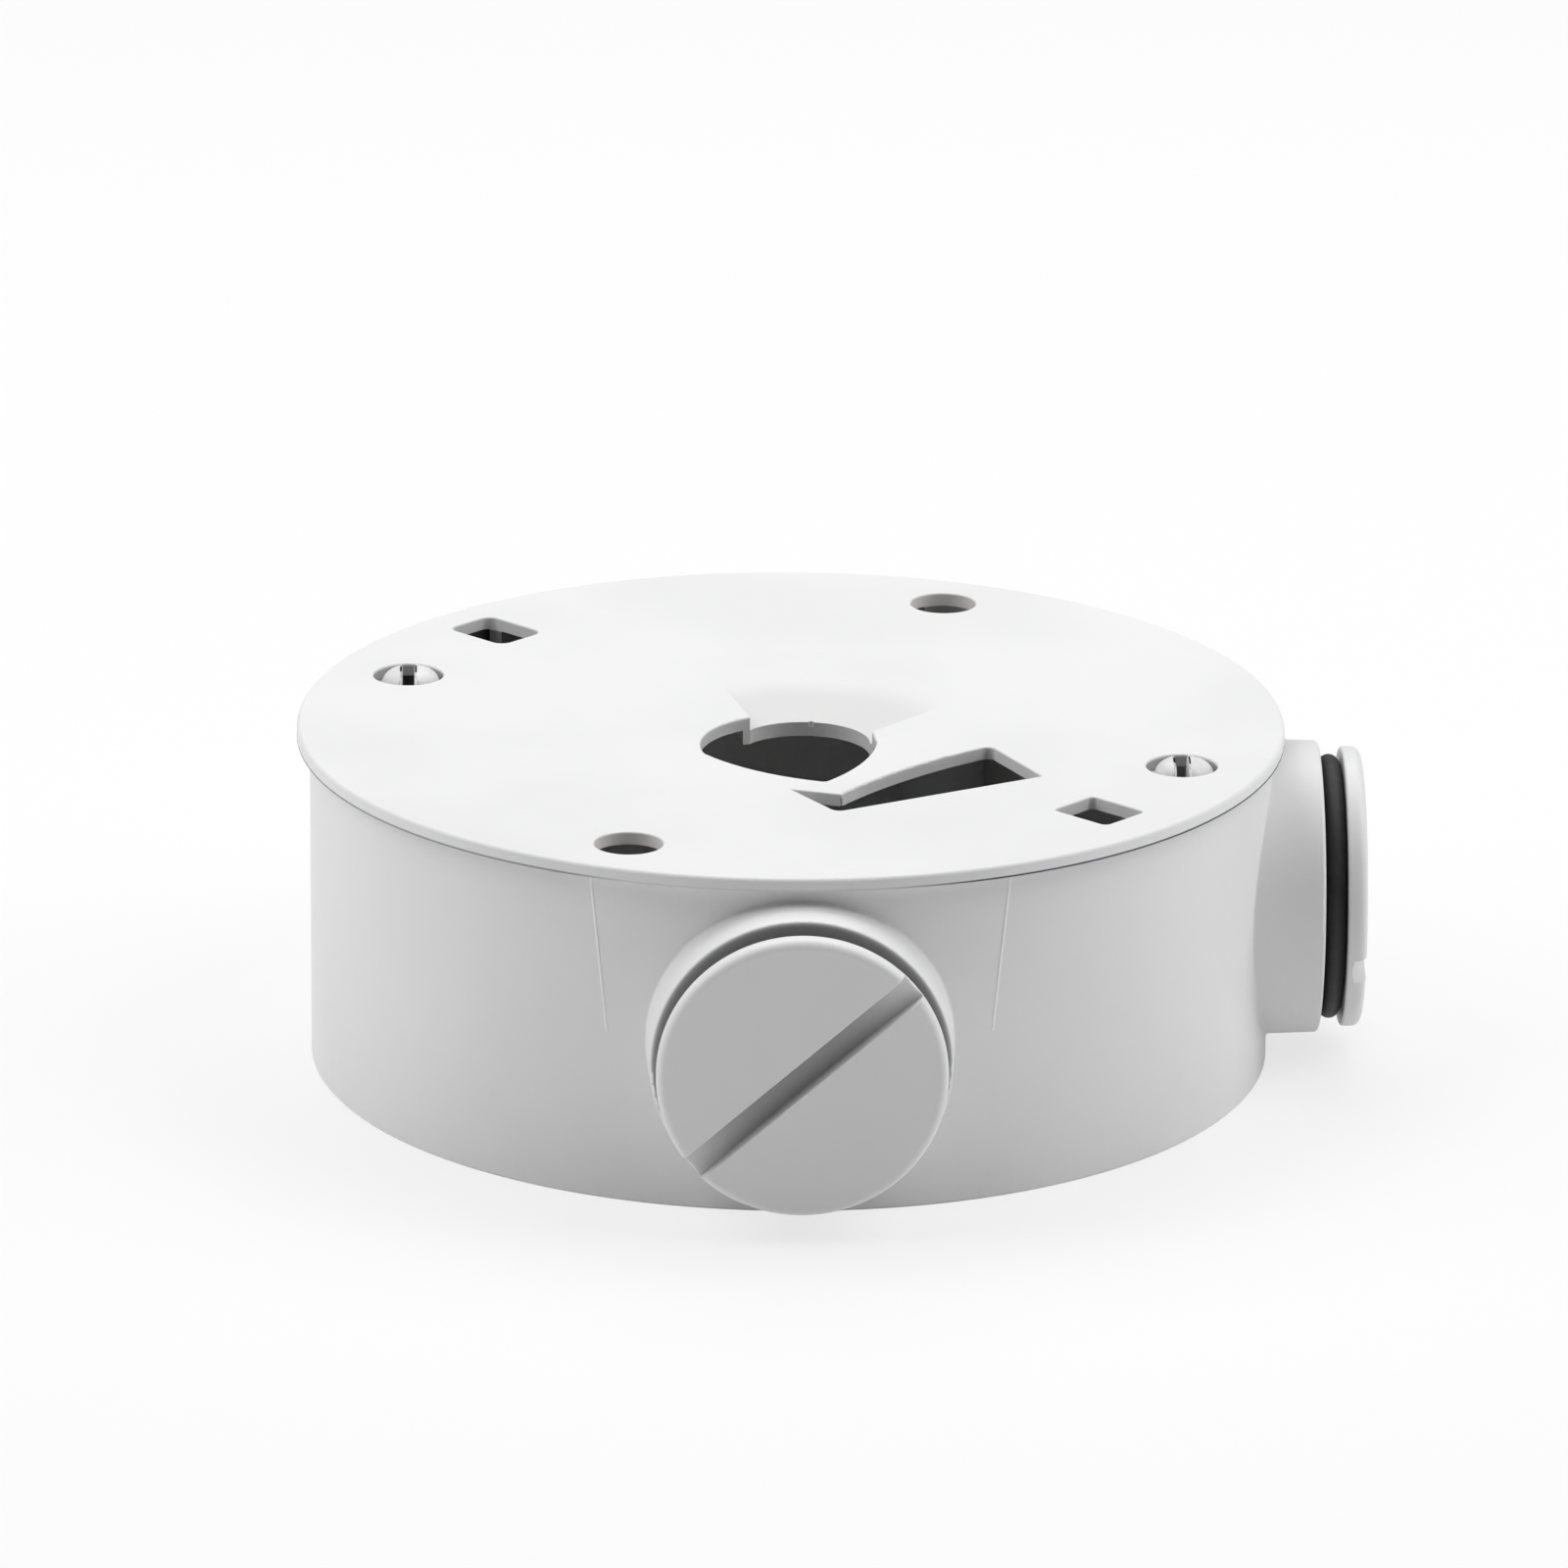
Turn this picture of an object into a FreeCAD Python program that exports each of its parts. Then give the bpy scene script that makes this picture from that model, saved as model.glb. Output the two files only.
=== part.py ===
import FreeCAD, Part
import math
import os
from FreeCAD import Vector

# Round junction box for a surveillance camera, in millimetres.
# The origin is the centre of the back face, which goes against the wall, and +Z points to the cover.
# The front outlet looks along -Y and the side outlet along +X.

# Overall
box_height = 35.0
cover_diameter = 100.0
cover_overhang = 1.3
wall_thickness = 2.6
floor_thickness = 3.0
inside_corner_radius = 2.0
back_edge_chamfer = 0.25

# Cover plate
cover_thickness = 1.3
cover_edge_radius = 0.45
hole_edge_radius = 0.2
cover_gap = 0.2
skirt_depth = 3.0
skirt_thickness = 1.4
skirt_clearance = 0.3
notch_clearance = 0.4
seat_clearance = 0.05

# Holes of the cover, placed by their distance from the inside of the wall
screw_hole_diameter = 6.8
screw_hole_from_wall = 3.7
screw_hole_angle = 66.7
far_hook_hole_length = 7.8
far_hook_hole_width = 6.0
far_hook_hole_corner_radius = 1.2
far_hook_hole_from_wall = 3.9
far_hook_hole_angle = 135.2
near_hook_hole_length = 6.9
near_hook_hole_width = 5.8
near_hook_hole_corner_radius = 0.6
near_hook_hole_from_wall = 4.4
near_hook_hole_angle = 315.8
snap_hole_diameter = 7.2
snap_post_from_wall = 4.5
snap_angle = 159.0

# Cable hole of the cover: a round side, two long sides that meet in a point, and a lowered far rim
cable_hole_centre = Vector(-0.4, -7.2, 0)
cable_hole_radius = 8.7
cable_hole_left_corner = Vector(-8.8, -11.0, 0)
cable_hole_left_bow = Vector(-3.7, -16.4, 0)
cable_hole_point = Vector(3.0, -19.9, 0)
cable_hole_right_bow = Vector(6.7, -14.1, 0)
cable_hole_right_corner = Vector(8.5, -7.4, 0)
cable_hole_upper_right = Vector(8.1, -3.8, 0)
cable_hole_corner_radius = 0.5

# Ramp that leads a cable down into the hole
ramp_centre = Vector(1.2, -3.4, 0)
ramp_rim_radius = 6.75
ramp_rim_left_angle = 138.6
ramp_rim_right_angle = -1.4
ramp_outer_radius = 17.5
ramp_depth = 1.4
ramp_apex = Vector(-0.5, -13.5, 0)
ramp_left_angle = 104.3
ramp_right_angle = 47.7
ramp_left_foot = Vector(-4.0, 0.75, 0)
rim_nick_angle = 82.0
rim_nick_width = 0.5
rim_nick_depth = 0.45
ramp_side_wall = 0.8

# Hook slot of the cover
slot_left = Vector(-0.5, -22.2, 0)
slot_inner_corner = Vector(4.5, -23.9, 0)
slot_bow = Vector(11.4, -15.6, 0)
slot_far_corner = Vector(19.9, -8.6, 0)
slot_right_corner = Vector(24.7, -18.2, 0)
slot_near_corner = Vector(3.9, -29.2, 0)
slot_corner_radius = 0.9
slot_corner_slit_width = 0.4
slot_corner_slit_height = 0.8

# Sealing ring between cover and housing
gasket_ledge_depth = 1.7
gasket_lip_thickness = 1.1
gasket_side_clearance = 0.12

# Split posts of the housing that grip the cover
snap_post_diameter = 10.0
snap_tip_diameter = 6.2
snap_tip_below_top = 0.3
snap_tip_edge_radius = 1.5
snap_slot_width = 1.3
snap_slot_depth = 9.0

# Posts with threaded inserts for the camera's screws
screw_post_diameter = 8.8
screw_post_below_cover = 3.8
insert_diameter = 5.6
insert_length = 8.0
insert_thread_bore = 3.3
insert_flange_chamfer = 0.4

# Outlets with their bosses, closed by plugs
boss_above_back = 2.25
boss_below_wall_top = 1.55
boss_reach = 5.0
boss_inner_reach = 4.1
boss_draft = 0.4
boss_edge_radius = 0.4
boss_root_radius = 0.3
boss_wall = 2.35
thread_clearance = 0.08
bore_lead_in = 0.6

# Plugs and their rubber rings
plug_head_inset = 0.6
plug_head_thickness = 2.0
plug_edge_radius = 0.9
plug_seal_gap = 2.3
plug_neck_below_face = 0.6
plug_thread_length = 9.0
plug_end_chamfer = 0.9
plug_wall = 3.0
plug_web = 1.6
coin_slot_width = 2.75
coin_slot_rim_depth = 1.1
coin_slot_middle_depth = 2.6
front_slot_angle = 41.0
side_slot_angle = 19.0
ring_section = 2.1
ring_proud_of_thread = 0.95
ring_neck_clearance = 0.1

# Back of the housing
wall_screw_pitch_radius = 35.0
wall_screw_hole_diameter = 5.2
wall_screw_angle = 45.0
wall_screw_count = 4
wall_boss_diameter = 11.0
wall_boss_height = 2.0
wall_seal_width = 2.6
wall_seal_depth = 1.4
wall_seal_edge = 3.0
wall_seal_clearance = 0.1

# Rubber entry in the back
entry_hole_diameter = 22.0
entry_recess_diameter = 27.6
entry_recess_depth = 1.5
entry_flange_diameter = 27.0
entry_inner_flange_diameter = 26.0
entry_inner_flange_height = 1.6
entry_cone_top_diameter = 9.0
entry_cone_height = 4.0
entry_membrane = 0.9

# Cable tie bridges on the floor
bridge_length = 13.0
bridge_width = 4.0
bridge_height = 4.4
bridge_hole_radius = 1.5
bridge_hole_height = 1.6
bridge_radius_from_centre = 27.0

# Derived sizes
up = Vector(0, 0, 1)
cover_radius = cover_diameter / 2
body_radius = cover_radius - cover_overhang
inner_radius = body_radius - wall_thickness
screw_hole_pitch_radius = inner_radius - screw_hole_from_wall
snap_pitch_radius = inner_radius - snap_post_from_wall
cover_underside = box_height - cover_thickness
wall_top = cover_underside - cover_gap
ledge_height = wall_top - gasket_ledge_depth
lip_radius = body_radius - gasket_lip_thickness
skirt_outer_radius = inner_radius - skirt_clearance
skirt_inner_radius = skirt_outer_radius - skirt_thickness
boss_radius = (wall_top - boss_below_wall_top - boss_above_back) / 2
boss_root = boss_radius + boss_draft
outlet_height = boss_above_back + boss_radius
boss_face_radius = body_radius + boss_reach
boss_inner_radius = inner_radius - boss_inner_reach
thread_radius = boss_radius - boss_wall
bore_radius = thread_radius + thread_clearance
plug_head_radius = boss_radius - plug_head_inset
ring_outer_radius = thread_radius + ring_proud_of_thread
ring_inner_radius = ring_outer_radius - ring_section
neck_radius = ring_inner_radius - ring_neck_clearance
head_underside = boss_face_radius + plug_seal_gap
head_face = head_underside + plug_head_thickness
thread_start = boss_face_radius - plug_neck_below_face
thread_end = thread_start - plug_thread_length
overcut = 1.0


def at_angle(radius, angle, height=0.0):
    """Point at a radius and an angle in degrees about the box's axis."""
    turn = math.radians(angle)
    return Vector(radius * math.cos(turn), radius * math.sin(turn), height)


def lift(point, height):
    """The same plan point at another height."""
    return Vector(point.x, point.y, height)


def disc(radius, low, high, centre=Vector(0, 0, 0)):
    """Upright cylinder between two heights."""
    return Part.makeCylinder(radius, high - low, lift(centre, low), up)


def tube(outer, inner, low, high):
    """Upright ring with a square section."""
    return disc(outer, low, high).cut(disc(inner, low - overcut, high + overcut))


def prism(edges, low, high):
    """Upright prism over a closed outline drawn at height zero."""
    face = Part.Face(Part.Wire(edges))
    face.translate(Vector(0, 0, low))
    return face.extrude(Vector(0, 0, high - low))


def line(start, end):
    return Part.LineSegment(start, end).toShape()


def arc(start, middle, end):
    return Part.Arc(start, middle, end).toShape()


def revolve(points, axis_point=Vector(0, 0, 0), axis=up):
    """Solid of revolution of a closed polygon that lies in a plane through the axis."""
    closed = points + [points[0]]
    return Part.Face(Part.makePolygon(closed)).revolve(axis_point, axis, 360)


def both_sides(radius, angle):
    """The two opposite points of a pattern at one pitch radius."""
    return [at_angle(radius, angle), at_angle(radius, angle + 180)]


def edges_where(shape, test):
    return [edge for edge in shape.Edges if test(edge)]


def is_circle(edge, radius, height):
    """Whether an edge is a level circle of this radius at this height."""
    curve = edge.Curve
    if not isinstance(curve, Part.Circle):
        return False
    return abs(curve.Radius - radius) < 1e-3 and abs(curve.Center.z - height) < 1e-3


def is_hole_edge(edge):
    """Whether an edge lies in the face of the cover, round an opening and not round the ramp."""
    if edge.BoundBox.ZMin < box_height - 1e-4 or edge.BoundBox.DiagonalLength > cover_radius:
        return False
    ramp_end = lift(ramp_centre, box_height)
    return all(abs(v.Point.distanceToPoint(ramp_end) - ramp_outer_radius) > 1e-3 for v in edge.Vertexes)


def cable_hole_outline():
    """Outline of the cable hole at the face of the cover."""
    centre = cable_hole_centre
    left_middle = centre + at_angle(cable_hole_radius, 165)
    rim_left = ramp_centre + at_angle(ramp_rim_radius, ramp_rim_left_angle)
    rim_right = ramp_centre + at_angle(ramp_rim_radius, ramp_rim_right_angle)
    middle_angle = (ramp_rim_left_angle + ramp_rim_right_angle) / 2
    rim_middle = ramp_centre + at_angle(ramp_rim_radius, middle_angle)
    return [
        arc(cable_hole_left_corner, left_middle, ramp_left_foot),
        line(ramp_left_foot, rim_left),
        arc(rim_left, rim_middle, rim_right),
        line(rim_right, cable_hole_upper_right),
        line(cable_hole_upper_right, cable_hole_right_corner),
        arc(cable_hole_right_corner, cable_hole_right_bow, cable_hole_point),
        arc(cable_hole_point, cable_hole_left_bow, cable_hole_left_corner),
    ]


def slot_outline():
    """Outline of the hook slot, before its near corner is rounded."""
    return [
        line(slot_left, slot_inner_corner),
        arc(slot_inner_corner, slot_bow, slot_far_corner),
        line(slot_far_corner, slot_right_corner),
        line(slot_right_corner, slot_near_corner),
        line(slot_near_corner, slot_left),
    ]


def ramp_fan(margin, low, high):
    """Sector between the two side lines of the ramp, widened by a margin."""
    reach = 2 * ramp_outer_radius
    half_angle = (ramp_left_angle - ramp_right_angle) / 2
    mid_angle = (ramp_left_angle + ramp_right_angle) / 2
    apex = ramp_apex - at_angle(margin / math.sin(math.radians(half_angle)), mid_angle)
    left = apex + at_angle(reach, ramp_left_angle)
    right = apex + at_angle(reach, ramp_right_angle)
    return prism([line(apex, left), line(left, right), line(right, apex)], low, high)


def ramp_cone(top, margin):
    """Shallow cone whose flank is the ramp, with its rim at a height and widened by a margin."""
    slope = ramp_depth / (ramp_outer_radius - ramp_rim_radius)
    outer = ramp_outer_radius + margin
    return Part.makeCone(0, outer, slope * outer, lift(ramp_centre, top - slope * outer), up)


def rim_nick():
    """Small notch in the middle of the lowered rim."""
    point = ramp_centre + at_angle(ramp_rim_radius, rim_nick_angle)
    return disc(rim_nick_width / 2, box_height - ramp_depth - rim_nick_depth, box_height, point)


def slot_corner_slit():
    """Small slit under the inner corner of the hook slot."""
    return disc(slot_corner_slit_width / 2, 0, cover_underside + slot_corner_slit_height, slot_inner_corner)


def rounded_prism(outline, corners, radius, low, high):
    """Upright prism over an outline, with some of its corners rounded."""
    solid = prism(outline, low, high)
    upright = edges_where(solid, lambda e: e.BoundBox.ZLength > high - low - 1e-6
                          and any(lift(e.Vertexes[0].Point, 0).distanceToPoint(c) < 1e-6 for c in corners))
    return solid.makeFillet(radius, upright)


def hook_hole(length, width, corner_radius, from_wall, angle, low, high):
    """Squarish hole with its long side along the radius."""
    block = Part.makeBox(length, width, high - low, Vector(inner_radius - from_wall - length / 2, -width / 2, low))
    upright = edges_where(block, lambda e: abs(e.BoundBox.ZLength - (high - low)) < 1e-6)
    block = block.makeFillet(corner_radius, upright)
    block.rotate(Vector(0, 0, 0), up, angle)
    return block


def outlet_cylinder(radius, start, end, direction):
    """Cylinder along an outlet's axis, between two distances from the box's axis."""
    base = direction * start + Vector(0, 0, outlet_height)
    return Part.makeCylinder(radius, end - start, base, direction)


front = Vector(0, -1, 0)
side = Vector(1, 0, 0)
outlets = [front, side]


def make_cover():
    plate = disc(cover_radius, cover_underside, box_height)
    plate = plate.makeFillet(cover_edge_radius, edges_where(plate, lambda e: is_circle(e, cover_radius, box_height)))
    skirt_bottom = cover_underside - skirt_depth
    skirt = tube(skirt_outer_radius, skirt_inner_radius, skirt_bottom, cover_underside)
    for direction in outlets:
        skirt = skirt.cut(outlet_cylinder(boss_radius + notch_clearance, 0, cover_radius, direction))
    for point in both_sides(snap_pitch_radius, snap_angle):
        skirt = skirt.cut(disc(snap_post_diameter / 2 + notch_clearance, 0, box_height, point))
    plate = plate.fuse(skirt)
    pad = ramp_cone(cover_underside, cover_thickness)
    pad = pad.common(ramp_fan(ramp_side_wall, 0, box_height))
    plate = plate.fuse(pad)
    low = skirt_bottom - overcut
    high = box_height + overcut
    cable_corners = [cable_hole_left_corner, cable_hole_point]
    plate = plate.cut(rounded_prism(cable_hole_outline(), cable_corners, cable_hole_corner_radius, low, high))
    plate = plate.cut(rounded_prism(slot_outline(), [slot_near_corner, slot_far_corner], slot_corner_radius, low, high))
    for point in both_sides(screw_hole_pitch_radius, screw_hole_angle):
        plate = plate.cut(disc(screw_hole_diameter / 2, low, high, point))
    for point in both_sides(snap_pitch_radius, snap_angle):
        plate = plate.cut(disc(snap_hole_diameter / 2, low, high, point))
    plate = plate.cut(hook_hole(far_hook_hole_length, far_hook_hole_width, far_hook_hole_corner_radius,
                                far_hook_hole_from_wall, far_hook_hole_angle, low, high))
    plate = plate.cut(hook_hole(near_hook_hole_length, near_hook_hole_width, near_hook_hole_corner_radius,
                                near_hook_hole_from_wall, near_hook_hole_angle, low, high))
    plate = plate.cut(ramp_cone(box_height, 0).common(ramp_fan(0, 0, high))).removeSplitter()
    plate = plate.makeFillet(hole_edge_radius, edges_where(plate, is_hole_edge))
    return plate.cut(rim_nick()).cut(slot_corner_slit())


def make_snap_tip(point):
    """Rounded head of a split post, where it stands in the cover's hole."""
    radius = snap_tip_diameter / 2
    top = box_height - snap_tip_below_top
    shoulder = cover_underside - seat_clearance
    tip = disc(radius, shoulder - overcut, top, point)
    return tip.makeFillet(snap_tip_edge_radius, edges_where(tip, lambda e: is_circle(e, radius, top)))


def make_bridge(direction):
    """Low arch on the floor that a cable tie passes through, across an outlet's line."""
    block = Part.makeBox(bridge_width, bridge_length, bridge_height,
                         Vector(bridge_radius_from_centre - bridge_width / 2, -bridge_length / 2, floor_thickness))
    upper = edges_where(block, lambda e: e.BoundBox.ZMin > floor_thickness + bridge_height - 1e-6
                        and e.BoundBox.YLength < 1e-6)
    block = block.makeFillet(bridge_width / 3, upper)
    hole_low = floor_thickness + bridge_hole_height
    hole = Part.makeCylinder(bridge_hole_radius, 2 * bridge_width,
                             Vector(bridge_radius_from_centre - bridge_width, 0, hole_low), Vector(1, 0, 0))
    block = block.cut(hole)
    block.rotate(Vector(0, 0, 0), up, math.degrees(math.atan2(direction.y, direction.x)))
    return block


def make_housing():
    outer = disc(body_radius, 0, wall_top)
    outer = outer.makeChamfer(back_edge_chamfer, edges_where(outer, lambda e: is_circle(e, body_radius, 0)))
    for direction in outlets:
        base = direction * boss_inner_radius + Vector(0, 0, outlet_height)
        boss = Part.makeCone(boss_root, boss_radius, boss_face_radius - boss_inner_radius, base, direction)
        far = edges_where(boss, lambda e: isinstance(e.Curve, Part.Circle)
                          and abs(e.Curve.Center.dot(direction) - boss_face_radius) < 1e-3)
        outer = outer.fuse(boss.makeFillet(boss_edge_radius, far))
    outer = outer.removeSplitter()
    root = edges_where(outer, lambda e: not isinstance(e.Curve, (Part.Circle, Part.Line)))
    outer = outer.makeFillet(boss_root_radius, root)

    cavity = disc(inner_radius, floor_thickness, wall_top + overcut)
    cavity = cavity.makeFillet(inside_corner_radius,
                               edges_where(cavity, lambda e: is_circle(e, inner_radius, floor_thickness)))
    for direction in outlets:
        cavity = cavity.cut(outlet_cylinder(boss_radius, boss_inner_radius, body_radius, direction))
        cavity = cavity.cut(make_bridge(direction))
    for point in both_sides(snap_pitch_radius, snap_angle):
        cavity = cavity.cut(disc(snap_post_diameter / 2, 0, box_height, point))
    post_top = cover_underside - screw_post_below_cover
    for point in both_sides(screw_hole_pitch_radius, screw_hole_angle):
        cavity = cavity.cut(disc(screw_post_diameter / 2, 0, post_top, point))
    wall_bosses = [at_angle(wall_screw_pitch_radius, wall_screw_angle + i * 360 / wall_screw_count)
                   for i in range(wall_screw_count)]
    for point in wall_bosses:
        cavity = cavity.cut(disc(wall_boss_diameter / 2, 0, floor_thickness + wall_boss_height, point))
    housing = outer.cut(cavity)
    housing = housing.cut(disc(lip_radius, ledge_height, wall_top + overcut))

    shoulder = cover_underside - seat_clearance
    for point in both_sides(snap_pitch_radius, snap_angle):
        post = disc(snap_post_diameter / 2, ledge_height - overcut, shoulder, point)
        post = post.common(disc(skirt_outer_radius, 0, box_height))
        housing = housing.fuse(post).fuse(make_snap_tip(point))
        slot = Part.makeBox(snap_slot_width, 2 * snap_post_diameter, snap_slot_depth + overcut,
                            Vector(point.x - snap_slot_width / 2, point.y - snap_post_diameter,
                                   box_height - snap_slot_depth))
        housing = housing.cut(slot.common(disc(inner_radius, 0, box_height + overcut)))
    for point in both_sides(screw_hole_pitch_radius, screw_hole_angle):
        housing = housing.cut(disc(insert_diameter / 2, post_top - insert_length, post_top + overcut, point))
    for direction in outlets:
        housing = housing.cut(outlet_cylinder(bore_radius, boss_inner_radius - overcut,
                                              boss_face_radius + overcut, direction))
        lead = Part.makeCone(bore_radius, bore_radius + bore_lead_in, bore_lead_in,
                             direction * (boss_face_radius - bore_lead_in) + Vector(0, 0, outlet_height), direction)
        housing = housing.cut(lead)
    for point in wall_bosses:
        housing = housing.cut(disc(wall_screw_hole_diameter / 2, -overcut,
                                   floor_thickness + wall_boss_height + overcut, point))
    housing = housing.cut(disc(entry_hole_diameter / 2, -overcut, floor_thickness + overcut))
    housing = housing.cut(disc(entry_recess_diameter / 2, -overcut, entry_recess_depth))
    seal_outer = body_radius - wall_seal_edge
    housing = housing.cut(tube(seal_outer, seal_outer - wall_seal_width, -overcut, wall_seal_depth))
    return housing.removeSplitter()


def make_cover_gasket():
    return tube(lip_radius - gasket_side_clearance, inner_radius + gasket_side_clearance,
                ledge_height, cover_underside - seat_clearance)


def make_wall_seal():
    outer = body_radius - wall_seal_edge - wall_seal_clearance
    inner = outer - wall_seal_width + 2 * wall_seal_clearance
    return tube(outer, inner, 0, wall_seal_depth)


def make_entry_grommet():
    """Rubber entry with a stepped cone that is cut to the cable."""
    neck = entry_hole_diameter / 2
    flange = entry_flange_diameter / 2
    inner_flange = entry_inner_flange_diameter / 2
    flange_top = floor_thickness + entry_inner_flange_height
    cone_top = flange_top + entry_cone_height
    tip = entry_cone_top_diameter / 2
    root = neck - entry_membrane
    points = [(0, cone_top), (tip, cone_top), (root, flange_top), (inner_flange, flange_top),
              (inner_flange, floor_thickness), (neck, floor_thickness), (neck, entry_recess_depth),
              (flange, entry_recess_depth), (flange, 0), (root - entry_membrane, 0),
              (root - entry_membrane, flange_top - entry_membrane),
              (tip - entry_membrane, cone_top - entry_membrane), (0, cone_top - entry_membrane)]
    return revolve([Vector(r, 0, z) for r, z in points])


def make_insert(point):
    """Threaded metal sleeve set in the top of a screw post."""
    top = cover_underside - screw_post_below_cover
    bottom = top - insert_length
    bore = insert_thread_bore / 2
    outer = insert_diameter / 2
    chamfer = insert_flange_chamfer
    points = [(bore + chamfer, top), (outer, top), (outer, bottom), (bore + chamfer, bottom),
              (bore, bottom + chamfer), (bore, top - chamfer)]
    sleeve = revolve([Vector(r, 0, z) for r, z in points])
    sleeve.translate(point)
    return sleeve


def make_plug(direction, slot_angle):
    """Threaded blanking plug with a coin slot, hollow from the inside."""
    shank = thread_radius
    head = plug_head_radius
    hollow = shank - plug_wall
    hollow_end = head_underside - plug_web
    chamfer = plug_end_chamfer
    points = [(0, head_face), (head, head_face), (head, head_underside), (neck_radius, head_underside),
              (neck_radius, thread_start), (shank, thread_start), (shank, thread_end + chamfer),
              (shank - chamfer, thread_end), (hollow, thread_end), (hollow, hollow_end), (0, hollow_end)]
    plug = revolve([Vector(r, 0, z) for r, z in points])
    plug = plug.makeFillet(plug_edge_radius, edges_where(plug, lambda e: is_circle(e, head, head_face)))
    reach = head + overcut
    floor_left = Vector(-reach, 0, head_face - coin_slot_rim_depth)
    floor_middle = Vector(0, 0, head_face - coin_slot_middle_depth)
    floor_right = Vector(reach, 0, head_face - coin_slot_rim_depth)
    top_left = Vector(-reach, 0, head_face + overcut)
    top_right = Vector(reach, 0, head_face + overcut)
    outline = Part.Wire([arc(floor_left, floor_middle, floor_right), line(floor_right, top_right),
                         line(top_right, top_left), line(top_left, floor_left)])
    slot = Part.Face(outline)
    slot.translate(Vector(0, -coin_slot_width / 2, 0))
    slot = slot.extrude(Vector(0, coin_slot_width, 0))
    slot.rotate(Vector(0, 0, 0), up, slot_angle)
    return stand_in_outlet(plug.cut(slot), direction)


def make_ring(direction):
    """Rubber ring round the plug's neck."""
    middle = boss_face_radius + plug_seal_gap / 2
    section = ring_section / 2
    return stand_in_outlet(Part.makeTorus(ring_outer_radius - section, section, Vector(0, 0, middle), up),
                           direction)


def stand_in_outlet(shape, direction):
    """Turn a part drawn upright so that it points out of an outlet, its own X staying level."""
    shape.rotate(Vector(0, 0, 0), Vector(1, 0, 0), 90)
    if direction == side:
        shape.rotate(Vector(0, 0, 0), up, 90)
    shape.translate(Vector(0, 0, outlet_height))
    return shape


screw_points = both_sides(screw_hole_pitch_radius, screw_hole_angle)
nodes = {
    "base_housing": make_housing(),
    "cover_plate": make_cover(),
    "cover_gasket": make_cover_gasket(),
    "wall_seal_ring": make_wall_seal(),
    "rear_entry_grommet": make_entry_grommet(),
    "front_plug": make_plug(front, front_slot_angle),
    "side_plug": make_plug(side, side_slot_angle),
    "front_plug_ring": make_ring(front),
    "side_plug_ring": make_ring(side),
    "far_screw_insert": make_insert(screw_points[0]),
    "near_screw_insert": make_insert(screw_points[1]),
}

os.makedirs("parts", exist_ok=True)
for name, shape in nodes.items():
    solid = shape.Solids[0] if len(shape.Solids) == 1 else shape
    solid.exportStep("parts/" + name + ".step")
    print(name, "solids", len(shape.Solids), "valid", shape.isValid(), "volume", round(shape.Volume, 1))
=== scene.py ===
import logging
import math
from contextlib import contextmanager
from dataclasses import dataclass, field
from enum import Enum
from typing import Callable, Iterator, Sequence

import bmesh
import bpy
from mathutils import Matrix, Vector


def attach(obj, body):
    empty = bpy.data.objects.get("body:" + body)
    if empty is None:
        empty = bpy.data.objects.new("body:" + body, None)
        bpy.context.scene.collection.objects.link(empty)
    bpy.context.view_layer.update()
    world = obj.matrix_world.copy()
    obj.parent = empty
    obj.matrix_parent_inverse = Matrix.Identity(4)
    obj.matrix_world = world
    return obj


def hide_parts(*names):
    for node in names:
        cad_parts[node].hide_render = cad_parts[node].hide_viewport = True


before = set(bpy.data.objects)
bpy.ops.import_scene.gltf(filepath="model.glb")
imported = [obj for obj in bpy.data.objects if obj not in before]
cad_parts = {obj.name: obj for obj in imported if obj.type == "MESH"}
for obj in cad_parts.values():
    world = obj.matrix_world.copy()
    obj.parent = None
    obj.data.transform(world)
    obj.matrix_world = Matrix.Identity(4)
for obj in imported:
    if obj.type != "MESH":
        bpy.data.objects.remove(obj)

logging.basicConfig(level=logging.INFO, format="%(name)s: %(message)s")
log = logging.getLogger("junction_box")

MM = 0.001
Colour = tuple[float, float, float]
Spot = tuple[float, float]
Place = tuple[float, float, float]


def spot(radius: float, angle: float) -> Spot:
    """Plan position at a radius and an angle in degrees about the box's axis."""
    return radius * math.cos(math.radians(angle)), radius * math.sin(math.radians(angle))


class Outlet(Enum):
    """The two outlets of the box, each with the turn that points a plug out of it."""

    FRONT = "front"
    SIDE = "side"

    @property
    def turn(self) -> Matrix:
        """Matrix that stands a piece drawn along +Z in this outlet's direction."""
        tip = Matrix.Rotation(math.radians(90), 4, "X")
        if self is Outlet.FRONT:
            return tip
        return Matrix.Rotation(math.radians(90), 4, "Z") @ tip


class MouldedPart(Enum):
    """The moulded pieces that carry marks of their mould."""

    BOX = "box"
    COVER = "cover"


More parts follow.
